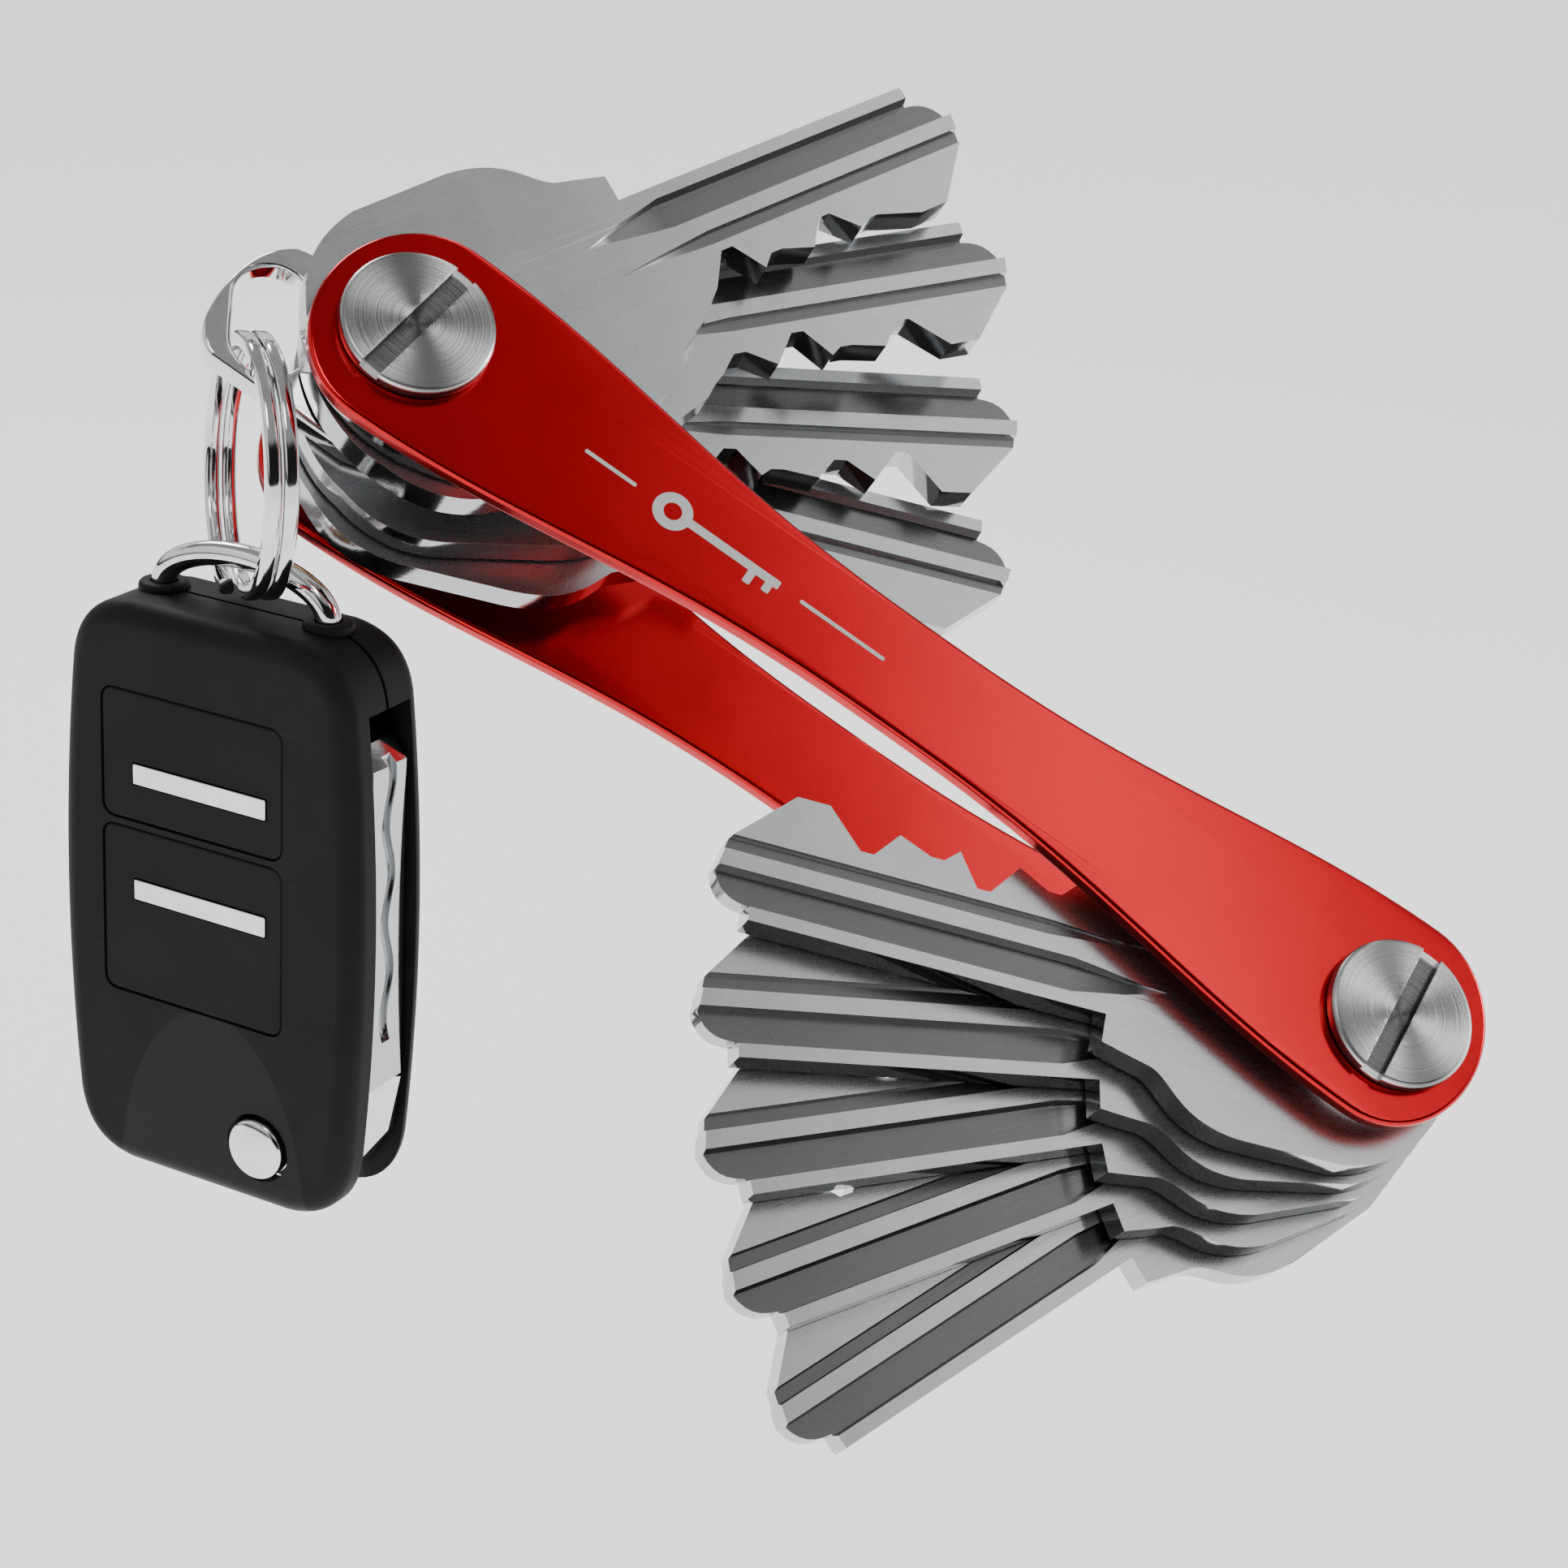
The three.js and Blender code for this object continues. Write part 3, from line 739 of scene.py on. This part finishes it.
TOOTH_BOTTOMS = {
    "a": [
        (-2.4, -3.9, -2.9, -4.3), (-3.4, -2.6, -4.2, -3.0), (-2.8, -4.2, -3.3, -2.5),
        (-4.0, -2.9, -3.5, -4.4)],
    "b": [
        (-3.6, -2.5, -3.8, -2.9), (-2.6, -3.9, -3.0, -4.2), (-3.9, -3.1, -2.5, -3.7),
        (-2.9, -4.3, -3.4, -2.8), (-3.7, -2.7, -4.1, -3.2)],
}


def key_outline(bottoms):
    """One key, with its hole at the origin and its blade along x; the teeth face -y."""
    tip = 45.0
    points = [(18.6, 3.6), (18.7, 5.5)]
    points += bend((18.7, 5.5), (16.4, 6.1), (15.4, 6.3), steps=6)
    points += bend((15.4, 6.3), (13.6, 6.8), (13.4, 9.4), (8.6, 9.7), steps=14)
    points += [(1.5, 9.6)]
    points += bend((1.5, 9.6), (-2.6, 8.8), (-4.4, 5.6))
    points += bend((-4.4, 5.6), (-6.4, 2.4), (-5.9, -1.5))
    points += bend((-5.9, -1.5), (-5.4, -5.0), (-3.4, -7.0))
    points += bend((-3.4, -7.0), (-1.0, -10.3), (3.0, -10.5))
    points += [(10.5, -10.5)]
    points += bend((10.5, -10.5), (14.6, -10.4), (15.6, -8.8), (17.0, -7.4), steps=12)
    points += [(19.6, -6.2), (20.4, -5.4)]
    for i, bottom in enumerate(bottoms):
        start = 21.3 + 4.1 * i
        flank = (bottom + 5.4) * 0.62
        points += [(start, -4.7), (start + flank, bottom), (start + flank + 0.9, bottom)]
    points += [(38.4, -5.4), (40.6, -5.4), (tip - 0.5, -1.6), (tip, 0.4)]
    points += bend((tip, 0.4), (tip - 0.4, 2.0), (tip - 1.8, 2.3), steps=5)
    points += [(tip - 2.4, 2.4), (tip - 2.4, 3.6)]
    return points


def groove(start, low, high, depth, top, slope=0.25, run=5.0):
    """A milled groove along the blade: a point in the bow that widens as it sinks."""
    end = 47.0
    middle = low + (high - low) * 0.35
    above = top + (0.5 if depth > 0 else -0.5)
    floor = top - depth
    tiny = 0.02
    stations = [
        (start, middle - tiny, middle + tiny, top - depth * 0.02),
        (start + run * 0.45, middle - (middle - low) * 0.5, middle + (high - middle) * 0.6,
         top - depth * 0.6),
        (start + run, low, high, floor),
        (end, low, high, floor),
    ]
    sections = []
    for x, bottom, side, deep in stations:
        lean = min(slope, (side - bottom) * 0.3)
        section = [(x, bottom, above), (x, bottom + lean, deep), (x, side - lean, deep), (x, side, above)]
        sections.append(section if depth > 0 else section[::-1])
    return loft(sections)


def key_cuts(thickness):
    return [
        groove(14.6, 0.3, 2.8, 0.8, thickness, run=6.5),
        groove(15.6, -1.9, -0.6, 0.42, thickness, run=7.5),
        groove(15.6, -1.9, -0.6, -0.42, 0.0, run=7.5),
    ]


def loop_outline():
    points = [(0.5, -6.2), (-9.9, -6.2)]
    points += bend((-9.9, -6.2), (-11.4, -5.6), (-11.9, -3.6))
    points += bend((-11.9, -3.6), (-12.4, -0.6), (-12.2, 3.0), (-9.6, 4.4), steps=16)
    points += [(-5.0, 5.1)]
    points += bend((-5.0, 5.1), (5.2, 6.2), (5.2, -1.0), steps=20)
    points += bend((5.2, -1.0), (4.8, -5.0), (0.5, -6.2), steps=12)[:-1]
    return points


def loop_window():
    stadium = arc(1.5, 0, 2.5, 2.5, -90, 90, 18) + arc(-1.5, 0, 2.5, 2.5, 90, 270, 18)
    place = shift(-8.4, -1.5) @ turn(-60, "Z")
    return [tuple((place @ Vector((x, y, 0)))[:2]) for x, y in stadium]


def fob_outline(inset_by=0.0):
    half = size("fob_width") / 2 - inset_by
    top = SHELL_TOP - inset_by
    bottom = SHELL_BOTTOM + inset_by
    round_by = SHELL_CORNER - inset_by
    middle = (top + bottom) / 2
    belly = half + 2 * SHELL_BELLY
    points = bend(
        (half - round_by, bottom), (half - 0.6, bottom + 0.4), (half, bottom + round_by), steps=12)
    points += bend((half, bottom + round_by), (belly, middle), (half, top - round_by), steps=24)
    points += bend((half, top - round_by), (half - 0.4, top - 0.4), (half - round_by, top), steps=12)
    left = bend((-half + round_by, top), (-half + 0.4, top - 0.4), (-half, top - round_by), steps=12)
    left += bend((-half, top - round_by), (-belly, middle), (-half, bottom + round_by), steps=24)
    left += bend(
        (-half, bottom + round_by), (-half + 0.6, bottom + 0.4), (-half + round_by, bottom), steps=12)
    return points + [(-half + round_by, top)] + left + [(half - round_by, bottom)]


# ---- operators -----------------------------------------------------------------------------
class ORGANISER_OT_plates(bpy.types.Operator):
    """Build both plates and the etched mark on the front one"""

    bl_idname = "organiser.plates"
    bl_label = "Plates"

    def execute(self, context):
        half = size("post_spacing") / 2
        thickness = size("plate")
        outline = plate_outline()
        plates = (("front_plate", 0.0, 1.8), ("back_plate", thickness - size("total"), 2.8))
        for name, top, hole in plates:
            loops = [outline, circle(hole, -half), circle(hole, half)]
            data = slab(loops, top - thickness, top, rim=0.34, steps=5)
            make(f"{name}_finished", data, plates_frame(), "red_plate", "organiser", "red_plate", [name])
        self.mark()
        return {"FINISHED"}

    def mark(self):
        """A small key between two lines, let into the front face."""
        key = rounded(-3.6, -0.32, 3.4, 0.32, 0.12, 3)
        pieces = [
            [circle(1.35, -4.8, 0, 48), circle(0.62, -4.8, 0, 32)],
            [key],
            [rounded(1.2, -1.25, 1.75, -0.2, 0.1, 3)],
            [rounded(2.5, -1.0, 3.05, -0.2, 0.1, 3)],
            [rounded(-11.5, -0.14, -7.6, 0.14, 0.12, 3)],
            [rounded(5.0, -0.14, 11.5, 0.14, 0.12, 3)],
        ]
        points = []
        faces = []
        for height, loops in enumerate(pieces):
            top = 0.02 + 0.002 * height
            more, sides = slab(loops, -0.05, top, rim=0.01, steps=1, foot=0)
            faces += [tuple(i + len(points) for i in face) for face in sides]
            points += more
        place = plates_frame() @ shift(x=-13.5, y=-0.1)
        make("front_plate_mark", (points, faces), place, "etched_mark", "organiser", "turned_steel")


class ORGANISER_OT_posts(bpy.types.Operator):
    """Build the screws, their barrels and the washers"""

    bl_idname = "organiser.posts"
    bl_label = "Posts"

    HEIGHT = 1.0
    GAP = 0.15
    SHANK = 1.5
    BORE_END = -14.6
    SLOT_WIDTH = 1.4
    SLOT_DEPTH = 0.6
    SLOT_ANGLES = {"a": 83.5, "b": 89.8}

    def head_profile(self, low):
        """From the edge of the underside to the middle of the crown, up from low."""
        radius = size("head") / 2
        chamfer = 0.36
        foot = 0.08
        top = low + self.HEIGHT
        profile = [(radius - foot, low), (radius, low + foot)]
        profile += arc(radius - chamfer, top - chamfer, chamfer, chamfer, 0, 90, 6)
        crown = radius - chamfer
        profile += [(crown * share, top) for share in (0.75, 0.5, 0.25, 0.06, 0)]
        return profile

    def execute(self, context):
        frame_of_plates = plates_frame()
        foot = -size("total") - self.GAP
        for side in ("a", "b"):
            place = frame_of_plates @ post(side)
            shank = [(0, -8.0), (self.SHANK - 0.3, -8.0), (self.SHANK, -7.7), (self.SHANK, self.GAP)]
            data = lathe(shank + self.head_profile(self.GAP), 160)
            top = self.GAP + self.HEIGHT
            half_slot = self.SLOT_WIDTH / 2
            slot = block((-7, -half_slot, top - self.SLOT_DEPTH), (7, half_slot, top + 1))
            slot = moved(slot, turn(self.SLOT_ANGLES[side], "Z"))
            make(f"screw_{side}_finished", data, place, "turned_steel", "organiser", "turned_steel",
                 [f"screw_{side}"], [slot], edge=0.05)
            barrel = [
                (0, self.BORE_END), (1.9, self.BORE_END), (1.9, -1.75), (2.05, -1.6), (2.35, -1.6),
                (2.5, -1.75), (2.5, foot)]
            cap = [(r, 2 * foot - z) for r, z in self.head_profile(foot)]
            data = lathe((barrel + cap)[::-1], 128)
            make(f"barrel_{side}_finished", data, place, "turned_steel", "organiser", "turned_steel",
                 [f"barrel_{side}"])
        bottom_a = BELOW_LOOP - 2 * STACK_PITCH
        bottom_b = FIRST_B - 5 * STACK_PITCH
        self.washer("washer_a", "a", 4.6, bottom_a, 2.3, "brass", "brass")
        self.washer("washer_b_front", "b", 6.2, FIRST_A, 1.0, "drawn_steel", "turned_steel")
        self.washer("washer_b_back", "b", 4.6, bottom_b, 0.6, "drawn_steel", "turned_steel")
        return {"FINISHED"}

    def washer(self, name, side, outer, top, thickness, finish, slot):
        loops = [circle(outer, sides=128), circle(2.8, sides=64)]
        data = slab(loops, top - thickness, top, rim=0.12, steps=3)
        place = plates_frame() @ post(side)
        make(f"{name}_finished", data, place, finish, "organiser", slot, [name])


class ORGANISER_OT_keys(bpy.types.Operator):
    """Build the nine keys, each with its own cuts"""

    bl_idname = "organiser.keys"
    bl_label = "Keys"

    def execute(self, context):
        thickness = size("key")
        for side, angle, step in (("a", FIRST_ANGLE_A, STEP_A), ("b", FIRST_ANGLE_B, STEP_B)):
            for i, bottoms in enumerate(TOOTH_BOTTOMS[side]):
                top = self.top(side, i)
                place = plates_frame() @ post(side) @ shift(z=top - thickness)
                place = place @ turn(angle + step * i, "Z")
                loops = [key_outline(bottoms), circle(2.8, sides=64)]
                data = slab(loops, 0, thickness)
                name = f"key_{side}{i + 1}"
                make(f"{name}_finished", data, place, "key_nickel", name, "key_nickel", [name],
                     key_cuts(thickness), edge=0.09)
        return {"FINISHED"}

    def top(self, side, i):
        if side == "b":
            return FIRST_B - i * STACK_PITCH
        return FIRST_A - i * STACK_PITCH if i < 2 else BELOW_LOOP - (i - 2) * STACK_PITCH


def interface(name, inputs):
    """A geometry tree with named number inputs, its board, and a wire from each input."""
    tree = bpy.data.node_groups.new(name, "GeometryNodeTree")
    tree.interface.new_socket("Geometry", in_out="OUTPUT", socket_type="NodeSocketGeometry")
    for label in inputs:
        kind = "NodeSocketInt" if isinstance(inputs[label], int) else "NodeSocketFloat"
        tree.interface.new_socket(label, in_out="INPUT", socket_type=kind)
    board = Board(tree)
    entry = board.add("NodeGroupInput").socket.node
    wires = {label: Wire(board, entry.outputs[label]) for label in inputs}
    return board, wires


def finish_tree(board, mesh, finish):
    """Ends a geometry tree in plain geometry with its material."""
    real = board.add("GeometryNodeRealizeInstances", sockets={0: mesh})
    painted = board.add("GeometryNodeSetMaterial", sockets={0: real, "Material": material(finish)})
    board.add("NodeGroupOutput", sockets={0: painted})


def baked(name, board, values):
    """The tree's result as a plain mesh object."""
    piece = raw_object(name, ([], []))
    nodes = piece.modifiers.new("shape", "NODES")
    nodes.node_group = board.tree
    for item in board.tree.interface.items_tree:
        if item.item_type == "SOCKET" and item.in_out == "INPUT":
            nodes[item.identifier] = values[item.name]
    evaluated(piece)
    bpy.data.node_groups.remove(board.tree)
    return piece


def coil_piece(name, finish, values):
    """Wire of an oblong section wound round z, with its middle at the origin."""
    board, wires = interface("wound_wire", values)
    spiral = board.add("GeometryNodeCurveSpiral", sockets={
        "Resolution": wires["Steps"], "Rotations": wires["Turns"], "Start Radius": wires["Radius"],
        "End Radius": wires["Radius"], "Height": wires["Rise"], "Reverse": True})
    drop = board.add("ShaderNodeCombineXYZ", sockets={2: wires["Rise"] * -0.5})
    centred = board.add("GeometryNodeTransform", sockets={"Geometry": spiral, "Translation": drop})
    upright = board.add("GeometryNodeSetCurveNormal", {"mode": "Z_UP"}, {0: centred})
    oblong = {"Width": wires["Height"], "Height": wires["Width"]}
    section = board.add("GeometryNodeCurvePrimitiveQuadrilateral", sockets=oblong)
    eased = board.add(
        "GeometryNodeFilletCurve", {"mode": "POLY"}, {0: section, "Count": 4, "Radius": wires["Corner"]})
    mesh = board.add("GeometryNodeCurveToMesh", sockets={0: upright, 1: eased, "Fill Caps": True})
    finish_tree(board, mesh, finish)
    return baked(name, board, values)


class ORGANISER_OT_ring(bpy.types.Operator):
    """Build the ring plate and wind the split ring"""

    bl_idname = "organiser.ring"
    bl_label = "Ring plate and split ring"

    def execute(self, context):
        loops = [loop_outline(), loop_window(), circle(2.8, sides=64)]
        data = slab(loops, 0, LOOP_THICKNESS, rim=0.3, steps=4)
        place = plates_frame() @ post("a") @ shift(z=LOOP_TOP - LOOP_THICKNESS)
        make("ring_plate_finished", data, place, "chrome", "ring_plate", "chrome", ["ring_plate"])
        values = {
            "Steps": 96, "Turns": COIL_TURNS, "Radius": RING_R, "Rise": COIL_PITCH * COIL_TURNS,
            "Width": COIL_WIDTH, "Height": COIL_HEIGHT, "Corner": 0.3}
        ring = coil_piece("split_ring_finished", "chrome", values)
        settle(ring, ring_frame(), "chrome", 50)
        assign(ring, "split_ring", "chrome", "split_ring")
        return {"FINISHED"}


class ORGANISER_OT_bail(bpy.types.Operator):
    """Bend the fob's wire bail and add its two grommets"""

    bl_idname = "organiser.bail"
    bl_label = "Bail"

    def execute(self, context):
        values = {"Steps": 96, "Half width": BAIL_HALF, "Rise": BAIL_RISE, "Leg": BAIL_LEG, "Wire": BAIL_R}
        board, wires = interface("wire_bail", values)
        line = board.add("GeometryNodeCurvePrimitiveLine", sockets={"End": (0, 0, 1)})
        steps = board.add("GeometryNodeResampleCurve", sockets={0: line, "Count": wires["Steps"]})
        along = board.add("GeometryNodeSplineParameter", output="Factor")
        leg = 0.2
        arch = (along - leg) * (math.pi / (1 - 2 * leg))
        arch = arch.maths("MINIMUM", arch.maths("MAXIMUM", arch, 0.0), math.pi)
        from_end = 0.5 - (along - 0.5).size()
        drop = (1 - from_end / leg).maths("MAXIMUM", 1 - from_end / leg, 0.0)
        x = arch.cos() * wires["Half width"] * -1
        z = (arch.sin() - 1) * wires["Rise"] - drop * wires["Leg"]
        place = board.add("ShaderNodeCombineXYZ", sockets={0: x, 2: z})
        bent = board.add("GeometryNodeSetPosition", sockets={0: steps, "Position": place})
        section = board.add(
            "GeometryNodeCurvePrimitiveCircle", sockets={"Resolution": 28, "Radius": wires["Wire"]})
        mesh = board.add("GeometryNodeCurveToMesh", sockets={0: bent, 1: section, "Fill Caps": True})
        finish_tree(board, mesh, "chrome")
        bail = baked("fob_bail_finished", board, values)
        settle(bail, fob_frame() @ shift(y=SEAM), "chrome", 50)
        assign(bail, "fob", "chrome", "fob_bail")
        profile = arc(1.45, SHELL_TOP + 0.05, 0.28, 0.42, -90, 90, 8)
        profile = [(0.95, SHELL_TOP - 0.4)] + profile + [(0.95, SHELL_TOP + 0.47)]
        for side in (-1, 1):
            name = "bail_grommet_left" if side < 0 else "bail_grommet_right"
            place = fob_frame() @ shift(side * BAIL_HALF, SEAM)
            make(name, lathe(profile, 64), place, "button_black", "fob", "button_black")
        return {"FINISHED"}


class ORGANISER_OT_case(bpy.types.Operator):
    """Build the fob's shells, pads, bars and release button"""

    bl_idname = "organiser.case"
    bl_label = "Fob case"

    def execute(self, context):
        outer = slab([fob_outline()], -SHELL_BACK, -SHELL_FRONT, rim=1.5, steps=10)
        inner = slab([fob_outline(WALL + 0.3)], WALL - SHELL_BACK, -SHELL_FRONT - WALL)
        side_slot = block((SLOT_INNER, -45, -SLOT_HIGH), (20, -8, -SLOT_LOW))
        foot_slot = block((-3, -50, -SLOT_HIGH), (20, -42, -SLOT_LOW))
        leg = rod(BAIL_R + PLAY, -9, 0, sides=40)
        legs = [moved(leg, turn(-90, "X") @ shift(s * BAIL_HALF, SEAM)) for s in (-1, 1)]
        shared = [inner, side_slot, foot_slot, *legs]
        front_of_seam = block((-30, -60, -30), (30, 10, -SEAM + PLAY / 2))
        back_of_seam = block((-30, -60, -SEAM - PLAY / 2), (30, 10, 30))
        openings = [slab([self.pad_loop(row, 0.09)], 2, 6) for row in PAD_ROWS]
        openings.append(rod(BUTTON_R + PLAY, 2, 6, *PIVOT, sides=72))
        place = fob_drawing()
        make("fob_front_finished", outer, place, "soft_black", "fob", "soft_black", ["fob_front_shell"],
             [*shared, front_of_seam, *openings], edge=0.14)
        screw_hole = rod(1.3, -6, -2, -7, -39, sides=40)
        make("fob_back_finished", outer, place, "soft_black", "fob", "soft_black", ["fob_back_shell"],
             [*shared, back_of_seam, screw_hole], edge=0.14)
        for row in PAD_ROWS:
            self.pad(row)
        self.release()
        return {"FINISHED"}

    def pad_loop(self, row, grow):
        top, bottom, _ = PAD_ROWS[row]
        left, right = PAD_SIDES
        return rounded(left - grow, bottom - grow, right + grow, top + grow, 0.9 + grow)

    def pad(self, row):
        low = PAD_ROWS[row][2] - BAR_HEIGHT / 2
        high = PAD_ROWS[row][2] + BAR_HEIGHT / 2
        left, right = BAR_SIDES
        seat = slab([rounded(left - 0.1, low - 0.1, right + 0.1, high + 0.1, 0.15, 3)], 3.6, 6)
        data = slab([self.pad_loop(row, 0)], 2.6, 4.15, rim=0.16, steps=3, foot=0)
        make(f"{row}_pad", data, fob_drawing(), "soft_black", f"{row}_button", "button_black",
             [f"{row}_button"], [seat])
        bar = slab([rounded(left, low, right, high, 0.1, 3)], 3.75, 4.25, rim=0.07, steps=3, foot=0)
        make(f"{row}_strip", bar, fob_drawing(), "chrome", f"{row}_button", "chrome", [f"{row}_bar"])

    def release(self):
        dome = [(0, 2.7), (BUTTON_R, 2.7), (BUTTON_R, 4.35)]
        dome += arc(BUTTON_R - 0.35, 4.35, 0.35, 0.35, 10, 70, 5)
        dome += [(r, 5.0 - 0.3 * (r / 1.9) ** 2) for r in (1.7, 1.4, 1.1, 0.8, 0.5, 0.25, 0)]
        place = fob_drawing() @ shift(*PIVOT)
        make("release_dome", lathe(dome, 96), place, "chrome", "release_button", "chrome", ["release_button"])


class ORGANISER_OT_flip_key(bpy.types.Operator):
    """Build the fob's folded blade and the hub it turns on"""

    bl_idname = "organiser.flip_key"
    bl_label = "Flip key"

    def execute(self, context):
        place = fob_drawing()
        shank = [(BLADE_INNER, -35.15), (BLADE_OUTER, -35.15), (BLADE_OUTER, BLADE_TIP - 1.5),
                 (BLADE_OUTER - 1.2, BLADE_TIP), (BLADE_INNER, BLADE_TIP)]
        data = slab([shank], -BLADE_BACK, -BLADE_FRONT)
        make("flip_blade_finished", data, place, "key_nickel", "flip_key", "key_nickel", ["flip_blade"],
             [self.wave()], edge=0.1)
        root = [(PIVOT[0], -43.6), (BLADE_INNER, -43.2), (BLADE_OUTER - 0.6, -39.5), (BLADE_OUTER, -35.4),
                (BLADE_INNER, -35.4), (PIVOT[0], -36.8)]
        left = arc(*PIVOT, 3.4, 3.4, 90, 270, 40)
        data = slab([left + root, circle(2.2, *PIVOT, 64)], -BLADE_BACK, -BLADE_FRONT)
        facet = block((-3, -6, -3), (3, 6, 0))
        facet = moved(facet, shift(BLADE_OUTER + 0.2, -40, -BLADE_FRONT) @ turn(40, "Y"))
        make("blade_hub_finished", data, place, "chrome", "flip_key", "chrome", ["blade_hub"],
             [facet], edge=0.14)
        return {"FINISHED"}

    def wave(self):
        """The wavy groove on the outer side of the blade."""
        half = 0.45
        count = 60
        middle = [
            (0.6 + 0.35 * math.sin(2.1 * 9 * i / count), BLADE_TIP - 0.5 - 21 * i / count)
            for i in range(count + 1)]
        loop = [(y - half, z) for y, z in middle] + [(y + half, z) for y, z in reversed(middle)]
        points, faces = slab([loop], BLADE_OUTER - 0.5, BLADE_OUTER + 1)
        return [(height, z, -y) for y, z, height in points], faces


class ORGANISER_OT_inner(bpy.types.Operator):
    """Finish the nodes that show as they were packed"""

    bl_idname = "organiser.inner"
    bl_label = "Inner parts"

    def execute(self, context):
        finishes = {
            "pivot_pin": "inner_steel", "flip_spring": "inner_steel", "coin_cell": "inner_steel",
            "housing_screw": "inner_steel", "circuit_board": "board"}
        for name, finish in finishes.items():
            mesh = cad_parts[name].data
            mesh.materials.clear()
            mesh.materials.append(material(finish))
        return {"FINISHED"}


class ORGANISER_OT_stage(bpy.types.Operator):
    """Set the floor, the world, the lights and the camera"""

    bl_idname = "organiser.stage"
    bl_label = "Stage"

    EYE = (-88.453, -191.403, 82.628)
    HEADING = 24.173
    PITCH = 21.491
    ROLL = 3.651
    LENS = 76.56

    def execute(self, context):
        self.sweep()
        self.world()
        self.lamp("key_light", (-160, -220, 420), (0, -10, 5), 160, 0.45)
        self.lamp("side_light", (420, -120, 160), (0, -10, 5), 120, 0.6)
        self.lamp("rim_light", (-60, 360, 300), (0, 0, 5), 160, 0.8)
        camera = bpy.data.cameras.new("camera")
        camera.lens = self.LENS
        camera.sensor_width = 36
        camera.clip_start = 0.01
        holder = bpy.data.objects.new("camera", camera)
        place = turn(-self.HEADING, "Z") @ turn(90 - self.PITCH, "X") @ turn(self.ROLL, "Z")
        place.translation = Vector(self.EYE) * MM
        holder.matrix_world = place
        context.scene.collection.objects.link(holder)
        context.scene.camera = holder
        return {"FINISHED"}

    def sweep(self):
        """A pale floor below the part."""
        z = -90
        far = 4000
        floor = raw_object("floor", block((-far, -far, z - 1), (far, far, z)))
        floor.data.transform(Matrix.Scale(MM, 4))
        board = Finish("backdrop_paper")
        place = board.body_place()
        grain = board.noise(place, 0.5, 3.0)
        pale = colour("backdrop")
        tone = board.mix(grain, tuple(c * 0.985 for c in pale[:3]) + (1.0,), pale)
        floor.data.materials.append(board.surface(
            Base_Color=tone, Roughness=0.9, Emission_Color=pale, Emission_Strength=1.0))

    def world(self):
        """A studio tent: a soft bright roof, a side panel, and dark gaps between them."""
        world = bpy.data.worlds.new("studio")
        world.use_nodes = True
        board = Board(world.node_tree)
        way = board.add("ShaderNodeTexCoord", output="Generated")
        node = board.add("ShaderNodeSeparateXYZ", sockets={0: way}).socket.node
        x, y, z = (Wire(board, node.outputs[i]) for i in range(3))
        roof = z.ramp(0.5, 0.62) * (0.30 + 0.35 * x.ramp(0.3, 0.5))
        card = x.ramp(0.40, 0.455) * (1 - x.ramp(0.475, 0.53)) * z.ramp(0.4, 0.6) * 3.0
        left = (1 - x.ramp(-0.75, -0.55)) * z.ramp(0.0, 0.2) * 0.9
        side = x.ramp(0.66, 0.8) * (1 - z.size().ramp(0.35, 0.6)) * 1.1
        back = y.ramp(0.6, 0.8) * z.ramp(0.0, 0.2) * (1 - z.ramp(0.45, 0.6)) * 0.9
        strength = 0.015 + roof + card + left + side + back
        seen = board.add("ShaderNodeLightPath", output="Is Camera Ray")
        strength = strength * (1 - seen) + seen
        background = board.add("ShaderNodeBackground", sockets={"Color": (1, 1, 1, 1), "Strength": strength})
        board.add("ShaderNodeOutputWorld", sockets={0: background})
        bpy.context.scene.world = world

    def lamp(self, name, place, target, width, power):
        light = bpy.data.lights.new(name, "AREA")
        light.shape = "SQUARE"
        light.size = width * MM
        light.energy = power
        holder = bpy.data.objects.new(name, light)
        way = Vector(target) - Vector(place)
        facing = way.to_track_quat("-Z", "Y").to_matrix().to_4x4()
        holder.matrix_world = Matrix.Translation(Vector(place) * MM) @ facing
        bpy.context.scene.collection.objects.link(holder)


STEPS = (
    ORGANISER_OT_plates, ORGANISER_OT_posts, ORGANISER_OT_keys, ORGANISER_OT_ring, ORGANISER_OT_bail,
    ORGANISER_OT_case, ORGANISER_OT_flip_key, ORGANISER_OT_inner, ORGANISER_OT_stage,
)


class ORGANISER_PT_panel(bpy.types.Panel):
    """The organiser's sizes, colours and steps"""

    bl_label = "Key Organiser"
    bl_idname = "ORGANISER_PT_panel"
    bl_space_type = "VIEW_3D"
    bl_region_type = "UI"
    bl_category = "Organiser"

    def draw(self, context):
        for group in (context.scene.organiser_sizes, context.scene.organiser_colours):
            for name in group.__annotations__:
                self.layout.prop(group, name)
        for step in STEPS:
            self.layout.operator(step.bl_idname)


CLASSES = (OrganiserSizes, OrganiserColours, *STEPS, ORGANISER_PT_panel)


def register():
    for item in CLASSES:
        bpy.utils.register_class(item)
    bpy.types.Scene.organiser_sizes = PointerProperty(type=OrganiserSizes)
    bpy.types.Scene.organiser_colours = PointerProperty(type=OrganiserColours)


def unregister():
    del bpy.types.Scene.organiser_colours
    del bpy.types.Scene.organiser_sizes
    for item in reversed(CLASSES):
        bpy.utils.unregister_class(item)


def main():
    register()
    for step in STEPS:
        group, name = step.bl_idname.split(".")
        getattr(getattr(bpy.ops, group), name)()


if __name__ == "__main__":
    main()
